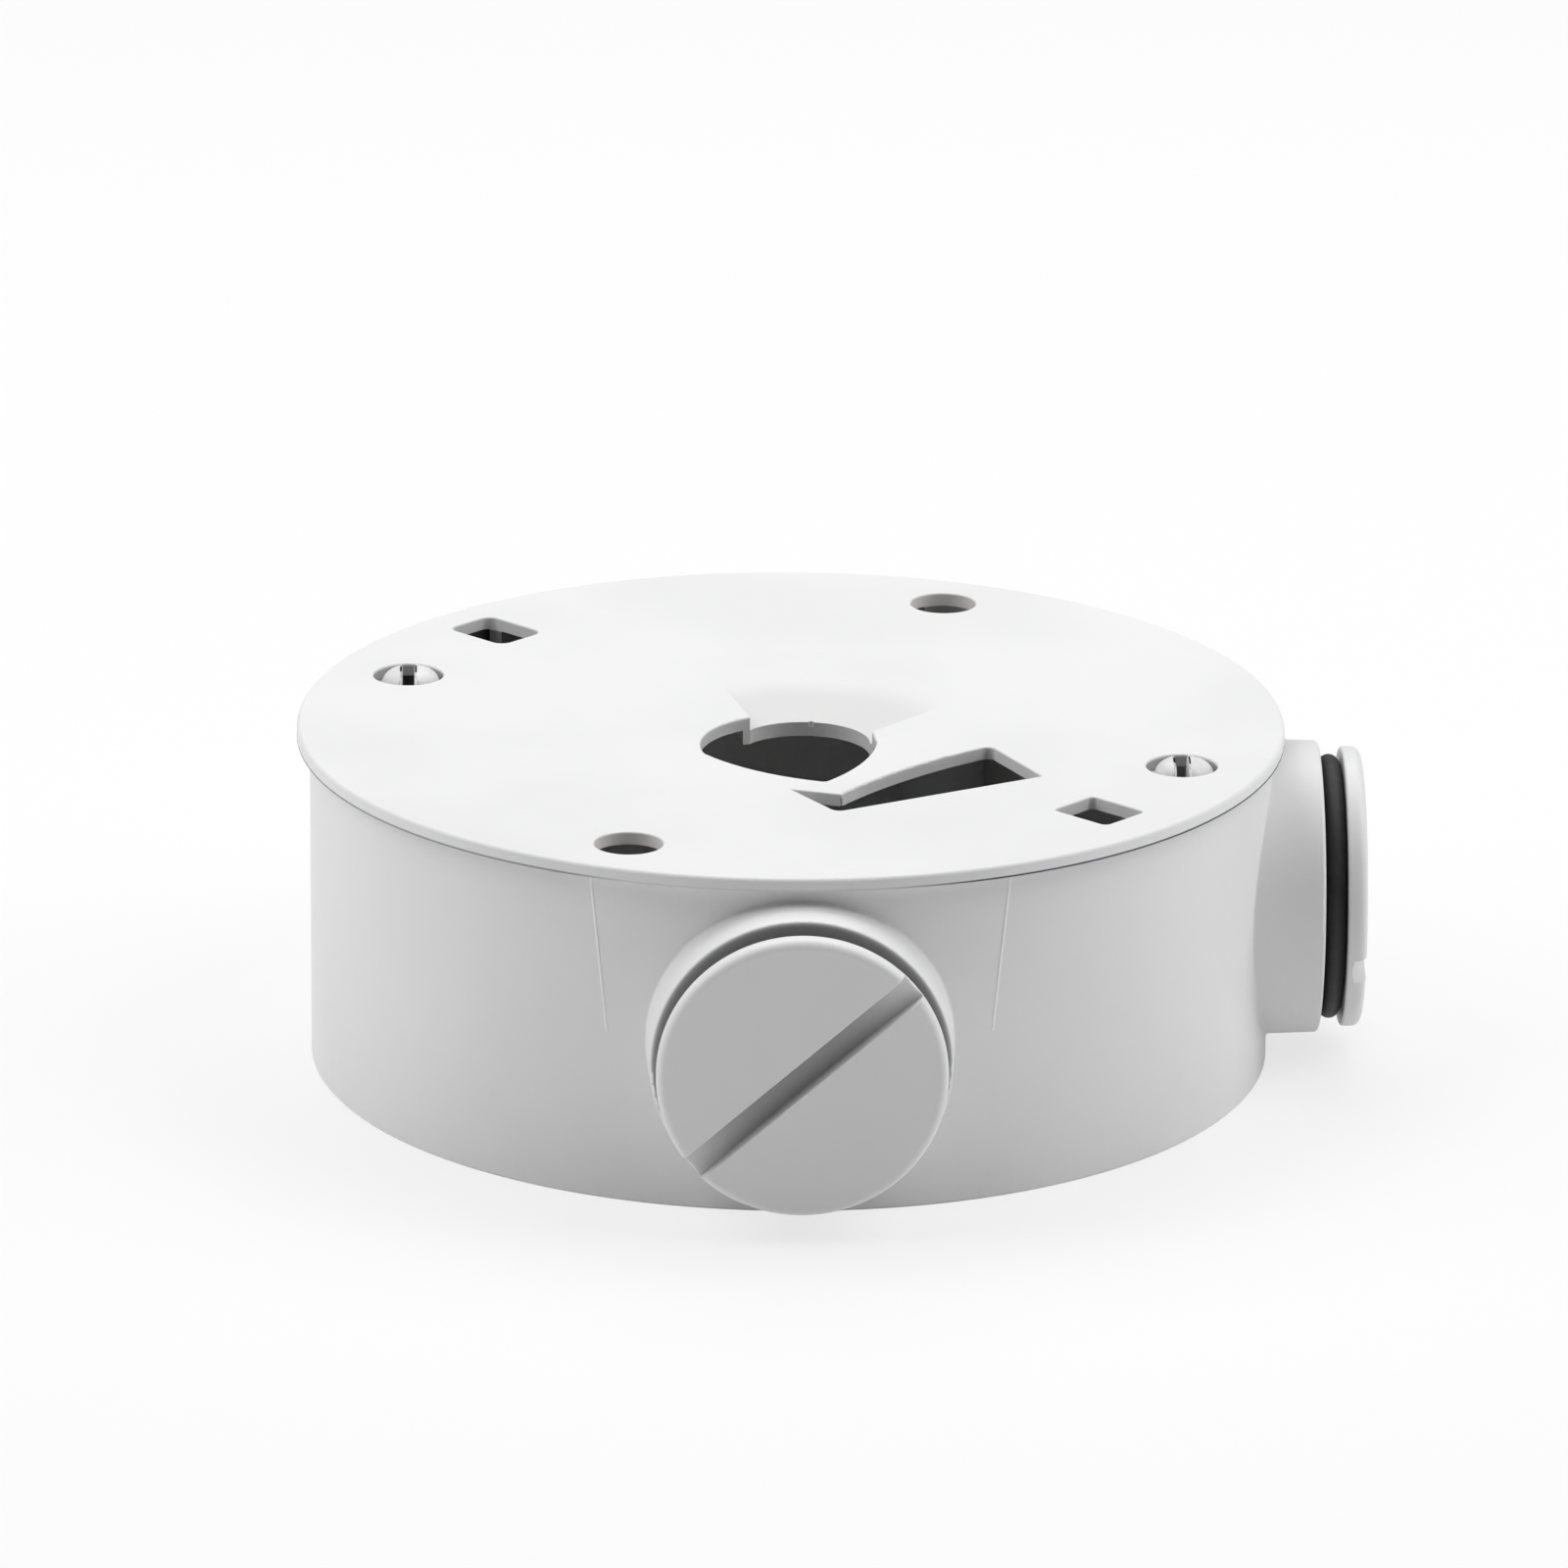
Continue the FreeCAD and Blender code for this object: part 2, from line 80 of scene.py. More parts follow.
@dataclass(frozen=True)
class BoxSizes:
    """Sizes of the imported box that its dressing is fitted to, in millimetres."""

    height: float = 35.0
    cover_radius: float = 50.0
    cover_thickness: float = 1.3
    body_radius: float = 48.7
    floor: float = 3.0
    wall_top: float = 33.5
    outlet_height: float = 17.1
    boss_face: float = 53.7
    bore_radius: float = 12.58
    thread_low: float = 44.1
    thread_lead: float = 0.8
    thread_pitch: float = 1.5
    plug_face: float = 58.0
    slot_depth: float = 2.6
    screw_pitch_radius: float = 42.4
    screw_angle: float = 66.7
    screw_post_top: float = 29.9
    split_post_pitch_radius: float = 41.6
    split_post_angles: tuple[float, ...] = (159.0, 339.0)

    @property
    def cover_underside(self) -> float:
        """Height of the cover's underside."""
        return self.height - self.cover_thickness

    def split_posts(self) -> list[Spot]:
        """Centres of the split posts."""
        return [spot(self.split_post_pitch_radius, angle) for angle in self.split_post_angles]

    def screw_posts(self) -> list[Spot]:
        """Centres of the far and the near screw post."""
        return [spot(self.screw_pitch_radius, self.screw_angle + turn) for turn in (0, 180)]


# Modelling by operator

class Bench:
    """Operator steps that each start with nothing else selected."""

    @staticmethod
    def clear() -> None:
        """Leave edit mode and deselect everything."""
        if bpy.context.object is not None and bpy.context.object.mode != "OBJECT":
            bpy.ops.object.mode_set(mode="OBJECT")
        bpy.ops.object.select_all(action="DESELECT")

    @staticmethod
    def only(piece: bpy.types.Object) -> bpy.types.Object:
        """Make one piece the selected and active object.

        Args:
            piece: The piece.

        Returns:
            The same piece.
        """
        Bench.clear()
        piece.select_set(True)
        bpy.context.view_layer.objects.active = piece
        return piece

    @staticmethod
    def named(name: str) -> bpy.types.Object:
        """Name the primitive that was just added.

        Args:
            name: Name of the object and its mesh.

        Returns:
            The new piece.
        """
        piece = bpy.context.object
        piece.name = name
        piece.data.name = name
        return piece

    @staticmethod
    def cylinder(name: str, radius: float, low: float, high: float, sides: int = 96,
                 at: Sequence[float] = (0.0, 0.0)) -> bpy.types.Object:
        """Upright cylinder between two heights.

        Args:
            name: Name of the new object.
            radius: Radius in millimetres.
            low: Height of the lower end in millimetres.
            high: Height of the upper end in millimetres.
            sides: Number of sides.
            at: Plan position of the axis in millimetres.

        Returns:
            The new object, selected and active.
        """
        Bench.clear()
        bpy.ops.mesh.primitive_cylinder_add(
            vertices=sides, radius=radius * MM, depth=(high - low) * MM,
            location=(at[0] * MM, at[1] * MM, (low + high) / 2 * MM))
        bpy.ops.object.transform_apply(location=True, rotation=True, scale=True)
        return Bench.named(name)

    @staticmethod
    def cuboid(name: str, low: Sequence[float], high: Sequence[float]) -> bpy.types.Object:
        """Box between two corners in millimetres.

        Args:
            name: Name of the new object.
            low: Lowest corner.
            high: Highest corner.

        Returns:
            The new object, selected and active.
        """
        Bench.clear()
        bpy.ops.mesh.primitive_cube_add(size=1, location=[(a + b) / 2 * MM for a, b in zip(low, high)])
        bpy.context.object.scale = [(b - a) * MM for a, b in zip(low, high)]
        bpy.ops.object.transform_apply(location=True, rotation=True, scale=True)
        return Bench.named(name)

    @staticmethod
    @contextmanager
    def editing(piece: bpy.types.Object, mode: str = "FACE") -> Iterator[None]:
        """Edit mode on one piece with nothing selected in its mesh.

        Args:
            piece: The piece to edit.
            mode: What is selected, VERT, EDGE or FACE.
        """
        Bench.only(piece)
        bpy.ops.object.mode_set(mode="EDIT")
        bpy.ops.mesh.select_mode(type=mode)
        bpy.ops.mesh.select_all(action="DESELECT")
        yield
        bpy.ops.object.mode_set(mode="OBJECT")

    @staticmethod
    def pick_faces(piece: bpy.types.Object, test: Callable[[bmesh.types.BMFace], bool]) -> None:
        """Select the faces of the edited mesh that pass a test.

        Args:
            piece: The piece in edit mode.
            test: What is asked of each face.
        """
        bpy.ops.mesh.select_all(action="DESELECT")
        mesh = bmesh.from_edit_mesh(piece.data)
        for face in [face for face in mesh.faces if test(face)]:
            face.select_set(True)
        bmesh.update_edit_mesh(piece.data)

    @staticmethod
    def pick_edges(piece: bpy.types.Object, test: Callable[[bmesh.types.BMEdge], bool]) -> None:
        """Select the edges of the edited mesh that pass a test.

        Args:
            piece: The piece in edit mode.
            test: What is asked of each edge.
        """
        bpy.ops.mesh.select_all(action="DESELECT")
        mesh = bmesh.from_edit_mesh(piece.data)
        for edge in [edge for edge in mesh.edges if test(edge)]:
            edge.select_set(True)
        bmesh.update_edit_mesh(piece.data)

    @staticmethod
    def merge_doubles(threshold: float) -> None:
        """Merge the edited mesh's vertices that are closer than a threshold in millimetres."""
        bpy.ops.mesh.select_all(action="SELECT")
        bpy.ops.mesh.remove_doubles(threshold=threshold * MM)

    @staticmethod
    def face_outwards() -> None:
        """Turn all faces of the edited mesh outwards."""
        bpy.ops.mesh.select_all(action="SELECT")
        bpy.ops.mesh.normals_make_consistent(inside=False)

    @staticmethod
    def step(rise: float) -> None:
        """Extrude the selected faces up or down, in millimetres."""
        bpy.ops.mesh.extrude_region_move(TRANSFORM_OT_translate={"value": (0, 0, rise * MM)})

    @staticmethod
    def modify(piece: bpy.types.Object, kind: str, **settings: object) -> None:
        """Add a modifier and apply it.

        Args:
            piece: The piece.
            kind: Blender's name of the modifier type.
            settings: Properties of the modifier.
        """
        Bench.only(piece)
        modifier = piece.modifiers.new(kind.lower(), kind)
        for name, value in settings.items():
            setattr(modifier, name, value)
        bpy.ops.object.modifier_apply(modifier=modifier.name)

    @staticmethod
    def cut(piece: bpy.types.Object, cutter: bpy.types.Object) -> None:
        """Take a cutter's volume out of a piece and remove the cutter."""
        Bench.modify(piece, "BOOLEAN", operation="DIFFERENCE", solver="EXACT", object=cutter)
        bpy.data.objects.remove(cutter)

    @staticmethod
    def join(target: bpy.types.Object, others: Sequence[bpy.types.Object]) -> bpy.types.Object:
        """Join pieces of one rigid part.

        Args:
            target: The piece that takes up the others.
            others: The pieces that are taken up.

        Returns:
            The joined piece.
        """
        Bench.only(target)
        for other in others:
            other.select_set(True)
        bpy.ops.object.join()
        return target

    @staticmethod
    def place(piece: bpy.types.Object, matrix: Matrix) -> None:
        """Move a piece and leave the place in its mesh.

        Args:
            piece: The piece.
            matrix: The move.
        """
        piece.matrix_world = matrix @ piece.matrix_world
        Bench.only(piece)
        bpy.ops.object.transform_apply(location=True, rotation=True, scale=True)

    @staticmethod
    def smooth(piece: bpy.types.Object, angle: float) -> None:
        """Shade a piece smooth across edges below an angle in degrees."""
        Bench.only(piece)
        bpy.ops.object.shade_smooth_by_angle(angle=math.radians(angle))

    @staticmethod
    def even_flats(piece: bpy.types.Object, sides: int = 12) -> None:
        """Give the corners of each many-sided flat face the face's own normal.

        Args:
            piece: The piece.
            sides: Faces with more sides than this are set.
        """
        normals = [corner.vector.copy() for corner in piece.data.corner_normals]
        for face in piece.data.polygons:
            if len(face.vertices) > sides:
                for corner in face.loop_indices:
                    normals[corner] = face.normal.copy()
        piece.data.normals_split_custom_set(normals)

    @staticmethod
    def merged_copy(node: str, name: str, angle: float,
                    shape: Callable[[bpy.types.Object], None] | None = None) -> bpy.types.Object:
        """Copy a CAD node's mesh into a piece, with its doubled vertices merged.

        Args:
            node: The CAD node.
            name: Name of the copy.
            angle: Edges above this angle in degrees stay sharp.
            shape: Work on the merged mesh before its normals are set.

        Returns:
            The copy, with weighted normals.
        """
        twin = bpy.data.objects.new(name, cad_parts[node].data.copy())
        twin.data.name = name
        bpy.context.scene.collection.objects.link(twin)
        with Bench.editing(twin, "VERT"):
            Bench.merge_doubles(0.002)
        bpy.ops.mesh.customdata_custom_splitnormals_clear()
        if shape is not None:
            shape(twin)
        Bench.smooth(twin, angle)
        Bench.modify(twin, "WEIGHTED_NORMAL", mode="FACE_AREA_WITH_ANGLE", weight=50, keep_sharp=True)
        return twin


# Shader nodes

class Value:
    """A number in a shader that takes part in Python arithmetic."""

    def __init__(self, shader: "Shader", socket: bpy.types.NodeSocket) -> None:
        """Wrap a socket of a shader."""
        self.shader = shader
        self.socket = socket

    def _math(self, operation: str, *terms: "Value | float") -> "Value":
        """Add a Math node.

        Args:
            operation: Blender's name of the operation.
            terms: Up to three values or numbers.

        Returns:
            The node's result.
        """
        inputs = {i: term for i, term in enumerate(terms)}
        made = self.shader.node("ShaderNodeMath", {"operation": operation}, inputs)
        return Value(self.shader, made.outputs[0])

    def __add__(self, other: "Value | float") -> "Value":
        """Sum."""
        return self._math("ADD", self, other)

    __radd__ = __add__

    def __sub__(self, other: "Value | float") -> "Value":
        """Difference."""
        return self._math("SUBTRACT", self, other)

    def __rsub__(self, other: float) -> "Value":
        """Difference with a plain number first."""
        return self._math("SUBTRACT", other, self)

    def __mul__(self, other: "Value | float") -> "Value":
        """Product."""
        return self._math("MULTIPLY", self, other)

    __rmul__ = __mul__

    def __truediv__(self, other: "Value | float") -> "Value":
        """Quotient."""
        return self._math("DIVIDE", self, other)

    def __pow__(self, other: "Value | float") -> "Value":
        """Power."""
        return self._math("POWER", self, other)

    def clamped(self) -> "Value":
        """The value held between 0 and 1."""
        made = self.shader.node("ShaderNodeClamp", {}, {"Value": self})
        return Value(self.shader, made.outputs[0])

    def band(self, low: float, high: float) -> "Value":
        """Smooth rise from 0 to 1.

        Args:
            low: Value where the rise starts.
            high: Value where it ends, which may be the lower of the two.

        Returns:
            The share between 0 and 1.
        """
        made = self.shader.node("ShaderNodeMapRange", {"interpolation_type": "SMOOTHSTEP"},
                                {"Value": self, "From Min": low, "From Max": high})
        return Value(self.shader, made.outputs[0])

    def squared_band(self, low: float, high: float) -> "Value":
        """Smooth rise of a squared distance from 0 at one radius to 1 at another."""
        return self.band(low ** 2, high ** 2)

    def sine(self) -> "Value":
        """Sine of an angle in radians."""
        return self._math("SINE", self)


class Shader:
    """One material's node tree, with a Principled shader at its end."""

    def __init__(self, name: str) -> None:
        """Start a material that holds only its shader and output.

        Args:
            name: Name of the material.
        """
        self.material = bpy.data.materials.new(name)
        self.material.use_nodes = True
        self.tree = self.material.node_tree
        self.tree.nodes.clear()
        self.output = self.tree.nodes.new("ShaderNodeOutputMaterial")
        self.surface = self.node("ShaderNodeBsdfPrincipled", {}, {})
        self.tree.links.new(self.surface.outputs[0], self.output.inputs["Surface"])
        self.place = self.node("ShaderNodeTexCoord", {}, {}).outputs["Object"]

    def node(self, kind: str, settings: dict, inputs: dict) -> bpy.types.Node:
        """Add a node, set it up and feed it.

        Args:
            kind: Blender's name of the node type.
            settings: Properties of the node.
            inputs: Values or links by the name or number of the socket.

        Returns:
            The new node.
        """
        made = self.tree.nodes.new(kind)
        for name, value in settings.items():
            setattr(made, name, value)
        for key, value in inputs.items():
            self.feed(made.inputs[key], value)
        return made

    def feed(self, socket: bpy.types.NodeSocket, value: object) -> None:
        """Link a socket to a value of the shader, or set it to a constant.

        Args:
            socket: The socket.
            value: A wrapped value, a socket or a constant.
        """
        if isinstance(value, Value):
            value = value.socket
        if isinstance(value, bpy.types.NodeSocket):
            self.tree.links.new(value, socket)
        else:
            socket.default_value = value

    def noise(self, size: float, detail: float = 2.0, stretch: Place = (1, 1, 1)) -> Value:
        """Cloudy value between 0 and 1.

        Args:
            size: Size of the clouds in millimetres.
            detail: Number of finer octaves.
            stretch: Scale of the pattern along each axis.

        Returns:
            The value.
        """
        spread = self.node("ShaderNodeMapping", {}, {"Vector": self.place, "Scale": stretch})
        made = self.node("ShaderNodeTexNoise", {},
                         {"Vector": spread.outputs[0], "Scale": 1 / (size * MM), "Detail": detail})
        return Value(self, made.outputs[0])

    def cells(self, size: float) -> Value:
        """Distance in a field of cells.

        Args:
            size: Size of the cells in millimetres.

        Returns:
            The distance from the nearest cell's point.
        """
        made = self.node("ShaderNodeTexVoronoi", {"feature": "F1"},
                         {"Vector": self.place, "Scale": 1 / (size * MM)})
        return Value(self, made.outputs["Distance"])

    def axes(self) -> tuple[Value, Value, Value]:
        """The place on the object along X, Y and Z, in millimetres."""
        made = self.node("ShaderNodeSeparateXYZ", {}, {"Vector": self.place})
        x, y, z = (Value(self, made.outputs[i]) / MM for i in range(3))
        return x, y, z

    @staticmethod
    def spread(across: Value, along: Value) -> Value:
        """Squared distance from the point where two values are zero."""
        return across * across + along * along

    @staticmethod
    def distance(across: Value, along: Value) -> Value:
        """Distance from the point where two values are zero."""
        return Shader.spread(across, along) ** 0.5

    def blend(self, share: Value, first: object, second: object) -> bpy.types.NodeSocket:
        """Mix two colours.

        Args:
            share: Share of the second colour.
            first: A colour or a colour socket.
            second: A colour or a colour socket.

        Returns:
            The mixed colour's socket.
        """
        made = self.node("ShaderNodeMix", {"data_type": "RGBA"}, {"Factor": share})
        for socket, colour in ((made.inputs[6], first), (made.inputs[7], second)):
            self.feed(socket, (*colour, 1) if isinstance(colour, tuple) else colour)
        return made.outputs[2]

    def bump(self, height: Value, strength: float, depth: float) -> None:
        """Raise the surface by a height between 0 and 1, after any bump it already has.

        Args:
            height: The height's share of the depth.
            strength: Strength of the bump.
            depth: Depth in millimetres.
        """
        made = self.node("ShaderNodeBump", {},
                         {"Strength": strength, "Distance": depth * MM, "Height": height})
        before = self.surface.inputs["Normal"]
        if before.is_linked:
            self.tree.links.new(before.links[0].from_socket, made.inputs["Normal"])
        self.tree.links.new(made.outputs[0], before)

    def finish(self, **sockets: object) -> bpy.types.Material:
        """Feed the Principled shader's sockets.

        Args:
            sockets: Values or links by the socket's name, written with underscores.

        Returns:
            The material.
        """
        for name, value in sockets.items():
            self.feed(self.surface.inputs[name.replace("_", " ").title().replace("Ior", "IOR")], value)
        return self.material


# Finishes

@dataclass(frozen=True)
class SatinMoulding:
    """White moulded plastic with the fine grain of a spark-eroded mould."""

    name: str
    colour: Colour = (0.83, 0.83, 0.83)
    shade: Colour = (0.79, 0.79, 0.795)
    # colour of the dust and painted shade on the housing's top, and of the painted shade on the cover's ramp
    dust_and_painted_shade: Colour = (0.55, 0.545, 0.54)
    roughness: float = 0.42
    specular: float = 0.45
    flow: float = 26.0
    speck: float = 1.4
    grain: float = 0.22
    ripple: float = 9.0
    sizes: BoxSizes = field(default_factory=BoxSizes)

    def build(self) -> bpy.types.Material:
        """Make the material."""
        shader = Shader(self.name)
        flow = shader.noise(self.flow, 3.0, (1.0, 1.0, 0.6))
        speck = shader.noise(self.speck, 2.0)
        colour = shader.blend(flow.band(0.35, 0.7) * 0.8 + speck.band(0.55, 0.8) * 0.2,
                              self.colour, self.shade)
        for share, mark in self.marks(shader, speck):
            colour = shader.blend(share, colour, mark)
        grain = shader.noise(self.grain, 3.0)
        ripple = shader.noise(self.ripple, 1.0)
        shader.bump(ripple, 0.18, 0.05)
        shader.bump(grain, 0.22, 0.012)
        return shader.finish(
            base_color=colour,
            roughness=self.roughness + grain.band(0.3, 0.7) * 0.1 - flow.band(0.4, 0.7) * 0.05,
            ior=1.49, specular_ior_level=self.specular)

    def marks(self, shader: Shader, speck: Value) -> Iterator[tuple[Value, Colour]]:
        """Share and colour of each mark of this moulding's own. A plain one has none."""
        return iter(())

    def outlet_axes(self, shader: Shader) -> list[tuple[Value, Value]]:
        """Places measured from the axes of the outlets.

        Args:
            shader: The material's shader.

        Returns:
            Distance along each outlet's axis and away from it, in millimetres.
        """
        x, y, height = shader.axes()
        up = height - self.sizes.outlet_height
        return [(y * -1.0, shader.distance(x, up)), (x, shader.distance(y, up))]


@dataclass(frozen=True)
class HousingMoulding(SatinMoulding):
    """Moulding of the housing, with dust and painted shade at its top and painted shade on the outlets' faces
    where the seals sit.
    """

    # depth and share of the dust and painted shade along the wall's top, under the cover's lip
    dust_and_shade_depth: float = 0.8
    dust_and_shade_share: float = 0.35
    # painted shade on the outlets' faces, in the narrow gap behind the plugs' heads
    painted_boss_shade: Colour = (0.13, 0.127, 0.13)
    boss_shade_depths: tuple[float, float] = (0.12, 0.03)
    boss_shade_radii: tuple[float, float] = (15.2, 14.0)
    boss_shade_share: float = 0.66

    def marks(self, shader: Shader, speck: Value) -> Iterator[tuple[Value, Colour]]:
        """Dust and painted shade along the wall's top, and painted shade in rings on the outlets' faces,
        behind the plugs' heads.

        Args:
            shader: The material's shader.
            speck: Fine clouds that break up the dust and painted shade.

        Yields:
            The share and the colour of each mark.
        """
        top, end = self.sizes.wall_top, self.sizes.boss_face
        # dust specks and painted shade: darker towards the wall's top, under the cover's lip
        dust = shader.axes()[2].band(top - self.dust_and_shade_depth, top) * speck.band(0.35, 0.75)
        yield dust * self.dust_and_shade_share, self.dust_and_painted_shade
        for along, radius in self.outlet_axes(shader):
            # painted shade: a dark ring on each outlet's face round the seal, where the plug's head shades it
            face = along.band(*(end - depth for depth in self.boss_shade_depths))
            yield face * radius.band(*self.boss_shade_radii) * self.boss_shade_share, self.painted_boss_shade


@dataclass(frozen=True)
class PlugMoulding(SatinMoulding):
    """Moulding of a plug, with painted shade at the bottom of its coin slot."""

    # colour and share of the painted shade deep in the coin slot
    painted_slot_shade: Colour = (0.2, 0.195, 0.2)
    slot_shade_share: float = 0.6
    first_depth: float = 0.9
    margins: tuple[float, float] = (0.6, 0.3)
    rim_radii: tuple[float, float] = (14.1, 13.7)

    def marks(self, shader: Shader, speck: Value) -> Iterator[tuple[Value, Colour]]:
        """Painted shade in the coin slots, stronger the deeper they are.

        Args:
            shader: The material's shader.
            speck: Fine clouds, of no use here.

        Yields:
            The share and the colour of each mark.
        """
        deep = self.sizes.slot_depth
        for along, radius in self.outlet_axes(shader):
            depth = self.sizes.plug_face - along
            # painted shade: the slot darkens with depth below the plug's face
            slot = depth.band(self.first_depth, deep) * depth.band(*(deep + more for more in self.margins))
            yield slot * radius.band(*self.rim_radii) * self.slot_shade_share, self.painted_slot_shade


@dataclass(frozen=True)
class CoverMoulding(SatinMoulding):
    """Moulding of the cover, with painted shadow under its rim, on its skirt and in the gaps round the split
    posts, and painted shade on its ramp.
    """

    # colour of the painted shadow in the cover's narrow gaps, under its rim and on its skirt
    gap: Colour = (0.07, 0.07, 0.075)
    edge_rises: tuple[float, float] = (0.24, 0.13)
    edge_insets: tuple[float, float] = (0.6, 0.3)
    right_reach: tuple[float, float] = (6.0, 20.0)
    right_share: float = 0.85
    left_reach: tuple[float, float] = (-16.0, -24.0)
    left_share: float = 0.55
    middle_share: float = 0.12
    skirt_outside: tuple[float, float] = (46.3, 46.0)
    skirt_inside: tuple[float, float] = (42.6, 43.0)
    skirt_drop: float = 0.15
    skirt_share: float = 0.75
    ramp_levels: tuple[float, float] = (34.98, 34.3)
    ramp_radii: tuple[float, float] = (23.0, 21.0)
    ramp_share: float = 0.34
    hole_levels: tuple[float, float] = (34.9, 34.6)
    hole_radii: tuple[float, float] = (4.2, 3.9)
    hole_share: float = 0.62

    def marks(self, shader: Shader, speck: Value) -> Iterator[tuple[Value, Colour]]:
        """Shadow of the gap under the rim, of the skirt, the ramp and the gaps round the split posts.

        Args:
            shader: The material's shader.
            speck: Fine clouds, of no use here.

        Yields:
            The share and the colour of each mark.
        """
        x, y, height = shader.axes()
        spread = shader.spread(x, y)
        low = self.sizes.cover_underside
        # painted shadow: a thin dark line along the rim's lower edge, strongest on the right and left
        edge = height.band(*(low + rise for rise in self.edge_rises))
        edge = edge * spread.squared_band(*(self.sizes.cover_radius - inset for inset in self.edge_insets))
        sides = x.band(*self.right_reach) * self.right_share + x.band(*self.left_reach) * self.left_share
        yield edge * (sides + self.middle_share).clamped(), self.gap
        # painted shade on the skirt below the cover's underside
        skirt = spread.squared_band(*self.skirt_outside) * spread.squared_band(*self.skirt_inside)
        yield skirt * height.band(low, low - self.skirt_drop) * self.skirt_share, self.gap
        # painted shade: the ramp a little darker than the cover's top
        ramp = height.band(*self.ramp_levels) * spread.squared_band(*self.ramp_radii)
        yield ramp * self.ramp_share, self.dust_and_painted_shade
        for px, py in self.sizes.split_posts():
            # painted shadow in the narrow gaps round the split posts
            hole = shader.spread(x - px, y - py).squared_band(*self.hole_radii)
            yield hole * height.band(*self.hole_levels) * self.hole_share, self.gap


@dataclass(frozen=True)
class SealRubber:
    """Black moulded rubber with a bloom of dust."""

    name: str
    colour: Colour = (0.028, 0.0265, 0.029)
    bloom: Colour = (0.09, 0.088, 0.09)
    roughness: float = 0.58

    def build(self) -> bpy.types.Material:
        """Make the material."""
        shader = Shader(self.name)
        cloud = shader.noise(2.2, 4.0)
        dust = shader.cells(0.45).band(0.18, 0.04) * cloud.band(0.45, 0.75)
        colour = shader.blend((cloud.band(0.4, 0.8) * 0.35 + dust * 0.6).clamped(), self.colour, self.bloom)
        shader.bump(shader.noise(0.18, 2.0), 0.3, 0.02)
        return shader.finish(
            base_color=colour, roughness=self.roughness + cloud.band(0.3, 0.7) * 0.18, ior=1.5)


@dataclass(frozen=True)
class TurnedBrass:
    """Brass with fine tool marks and a slight tarnish."""

    name: str
    colour: Colour = (0.78, 0.6, 0.3)
    tarnish: Colour = (0.42, 0.29, 0.13)
    sleeve_radii: tuple[float, float] = (3.6, 3.4)
    upright_marks: float = 21.0
    face_marks: float = 34.0
    sizes: BoxSizes = field(default_factory=BoxSizes)

    def build(self) -> bpy.types.Material:
        """Make the material."""
        shader = Shader(self.name)
        cloud = shader.noise(1.1, 3.0)
        x, y, height = shader.axes()
        outer, inner = self.sleeve_radii
        marks = (height * self.upright_marks).sine() * 0.5 + 0.5
        for px, py in self.sizes.screw_posts():
            away = shader.distance(x - px, y - py)
            rings = (away * self.face_marks).sine() * 0.5 + 0.5
            marks = marks * away.band(outer, inner) + rings * away.band(inner, outer)
        shader.bump(marks, 0.35, 0.02)
        return shader.finish(
            base_color=shader.blend(cloud.band(0.45, 0.75), self.colour, self.tarnish),
            metallic=1.0, roughness=0.28 + cloud.band(0.3, 0.8) * 0.25)


@dataclass(frozen=True)
class StudioFloor:
    """Pale floor that shows white to the camera and keeps the object's shadow."""

    name: str = "studio_floor"
    colour: Colour = (0.86, 0.86, 0.86)
    lift: float = 0.72

    def build(self) -> bpy.types.Material:
        """Make the material."""
        shader = Shader(self.name)
        mottle = shader.noise(60.0, 2.0)
        shader.finish(base_color=shader.blend(mottle * 0.06, self.colour, (0.8, 0.8, 0.8)), roughness=0.9)
        glow = shader.node("ShaderNodeEmission", {}, {"Color": (1, 1, 1, 1), "Strength": 1.0})
        ray = shader.node("ShaderNodeLightPath", {}, {})
        seen = [Value(shader, ray.outputs[name]) for name in
                ("Is Camera Ray", "Is Glossy Ray", "Is Transmission Ray")]
        share = (seen[0] + seen[1] + seen[2]).clamped() * self.lift
        bright = shader.node("ShaderNodeMixShader", {},
                             {0: share, 1: shader.surface.outputs[0], 2: glow.outputs[0]})
        clear = shader.node("ShaderNodeBsdfTransparent", {}, {})
        below = shader.node("ShaderNodeNewGeometry", {}, {}).outputs["Backfacing"]
        both = shader.node("ShaderNodeMixShader", {}, {0: below, 1: bright.outputs[0], 2: clear.outputs[0]})
        shader.tree.links.new(both.outputs[0], shader.output.inputs["Surface"])
        return shader.material


@dataclass
class Finishes:
    """Every material of the scene, made once."""

    housing: bpy.types.Material = field(init=False)
    cover: bpy.types.Material = field(init=False)
    plug: bpy.types.Material = field(init=False)
    line: bpy.types.Material = field(init=False)
    rubber: bpy.types.Material = field(init=False)
    brass: bpy.types.Material = field(init=False)

    def __post_init__(self) -> None:
        """Make the materials."""
        self.housing = HousingMoulding("housing_moulding").build()
        self.cover = CoverMoulding("cover_moulding", roughness=0.55, specular=0.3).build()
        # painted highlight: the slide lines are dressed lighter than the wall so that they read as lit ridges
        self.line = SatinMoulding("parting_line_painted_highlight", colour=(0.96, 0.96, 0.96), shade=(0.93, 0.93, 0.93)).build()
        self.plug = PlugMoulding("plug_moulding", colour=(0.82, 0.82, 0.82), roughness=0.4).build()
        self.rubber = SealRubber("seal_rubber").build()
        self.brass = TurnedBrass("insert_brass").build()

    def moulded(self, part: MouldedPart) -> bpy.types.Material:
        """The material of a moulded part."""
        return self.cover if part is MouldedPart.COVER else self.housing


def dress(piece: bpy.types.Object, material: bpy.types.Material) -> None:
    """Give a piece its one material.

    Args:
        piece: The piece, new or an imported node.
        material: The material.
    """
    piece.data.materials.clear()
    piece.data.materials.append(material)


# Sub-assemblies

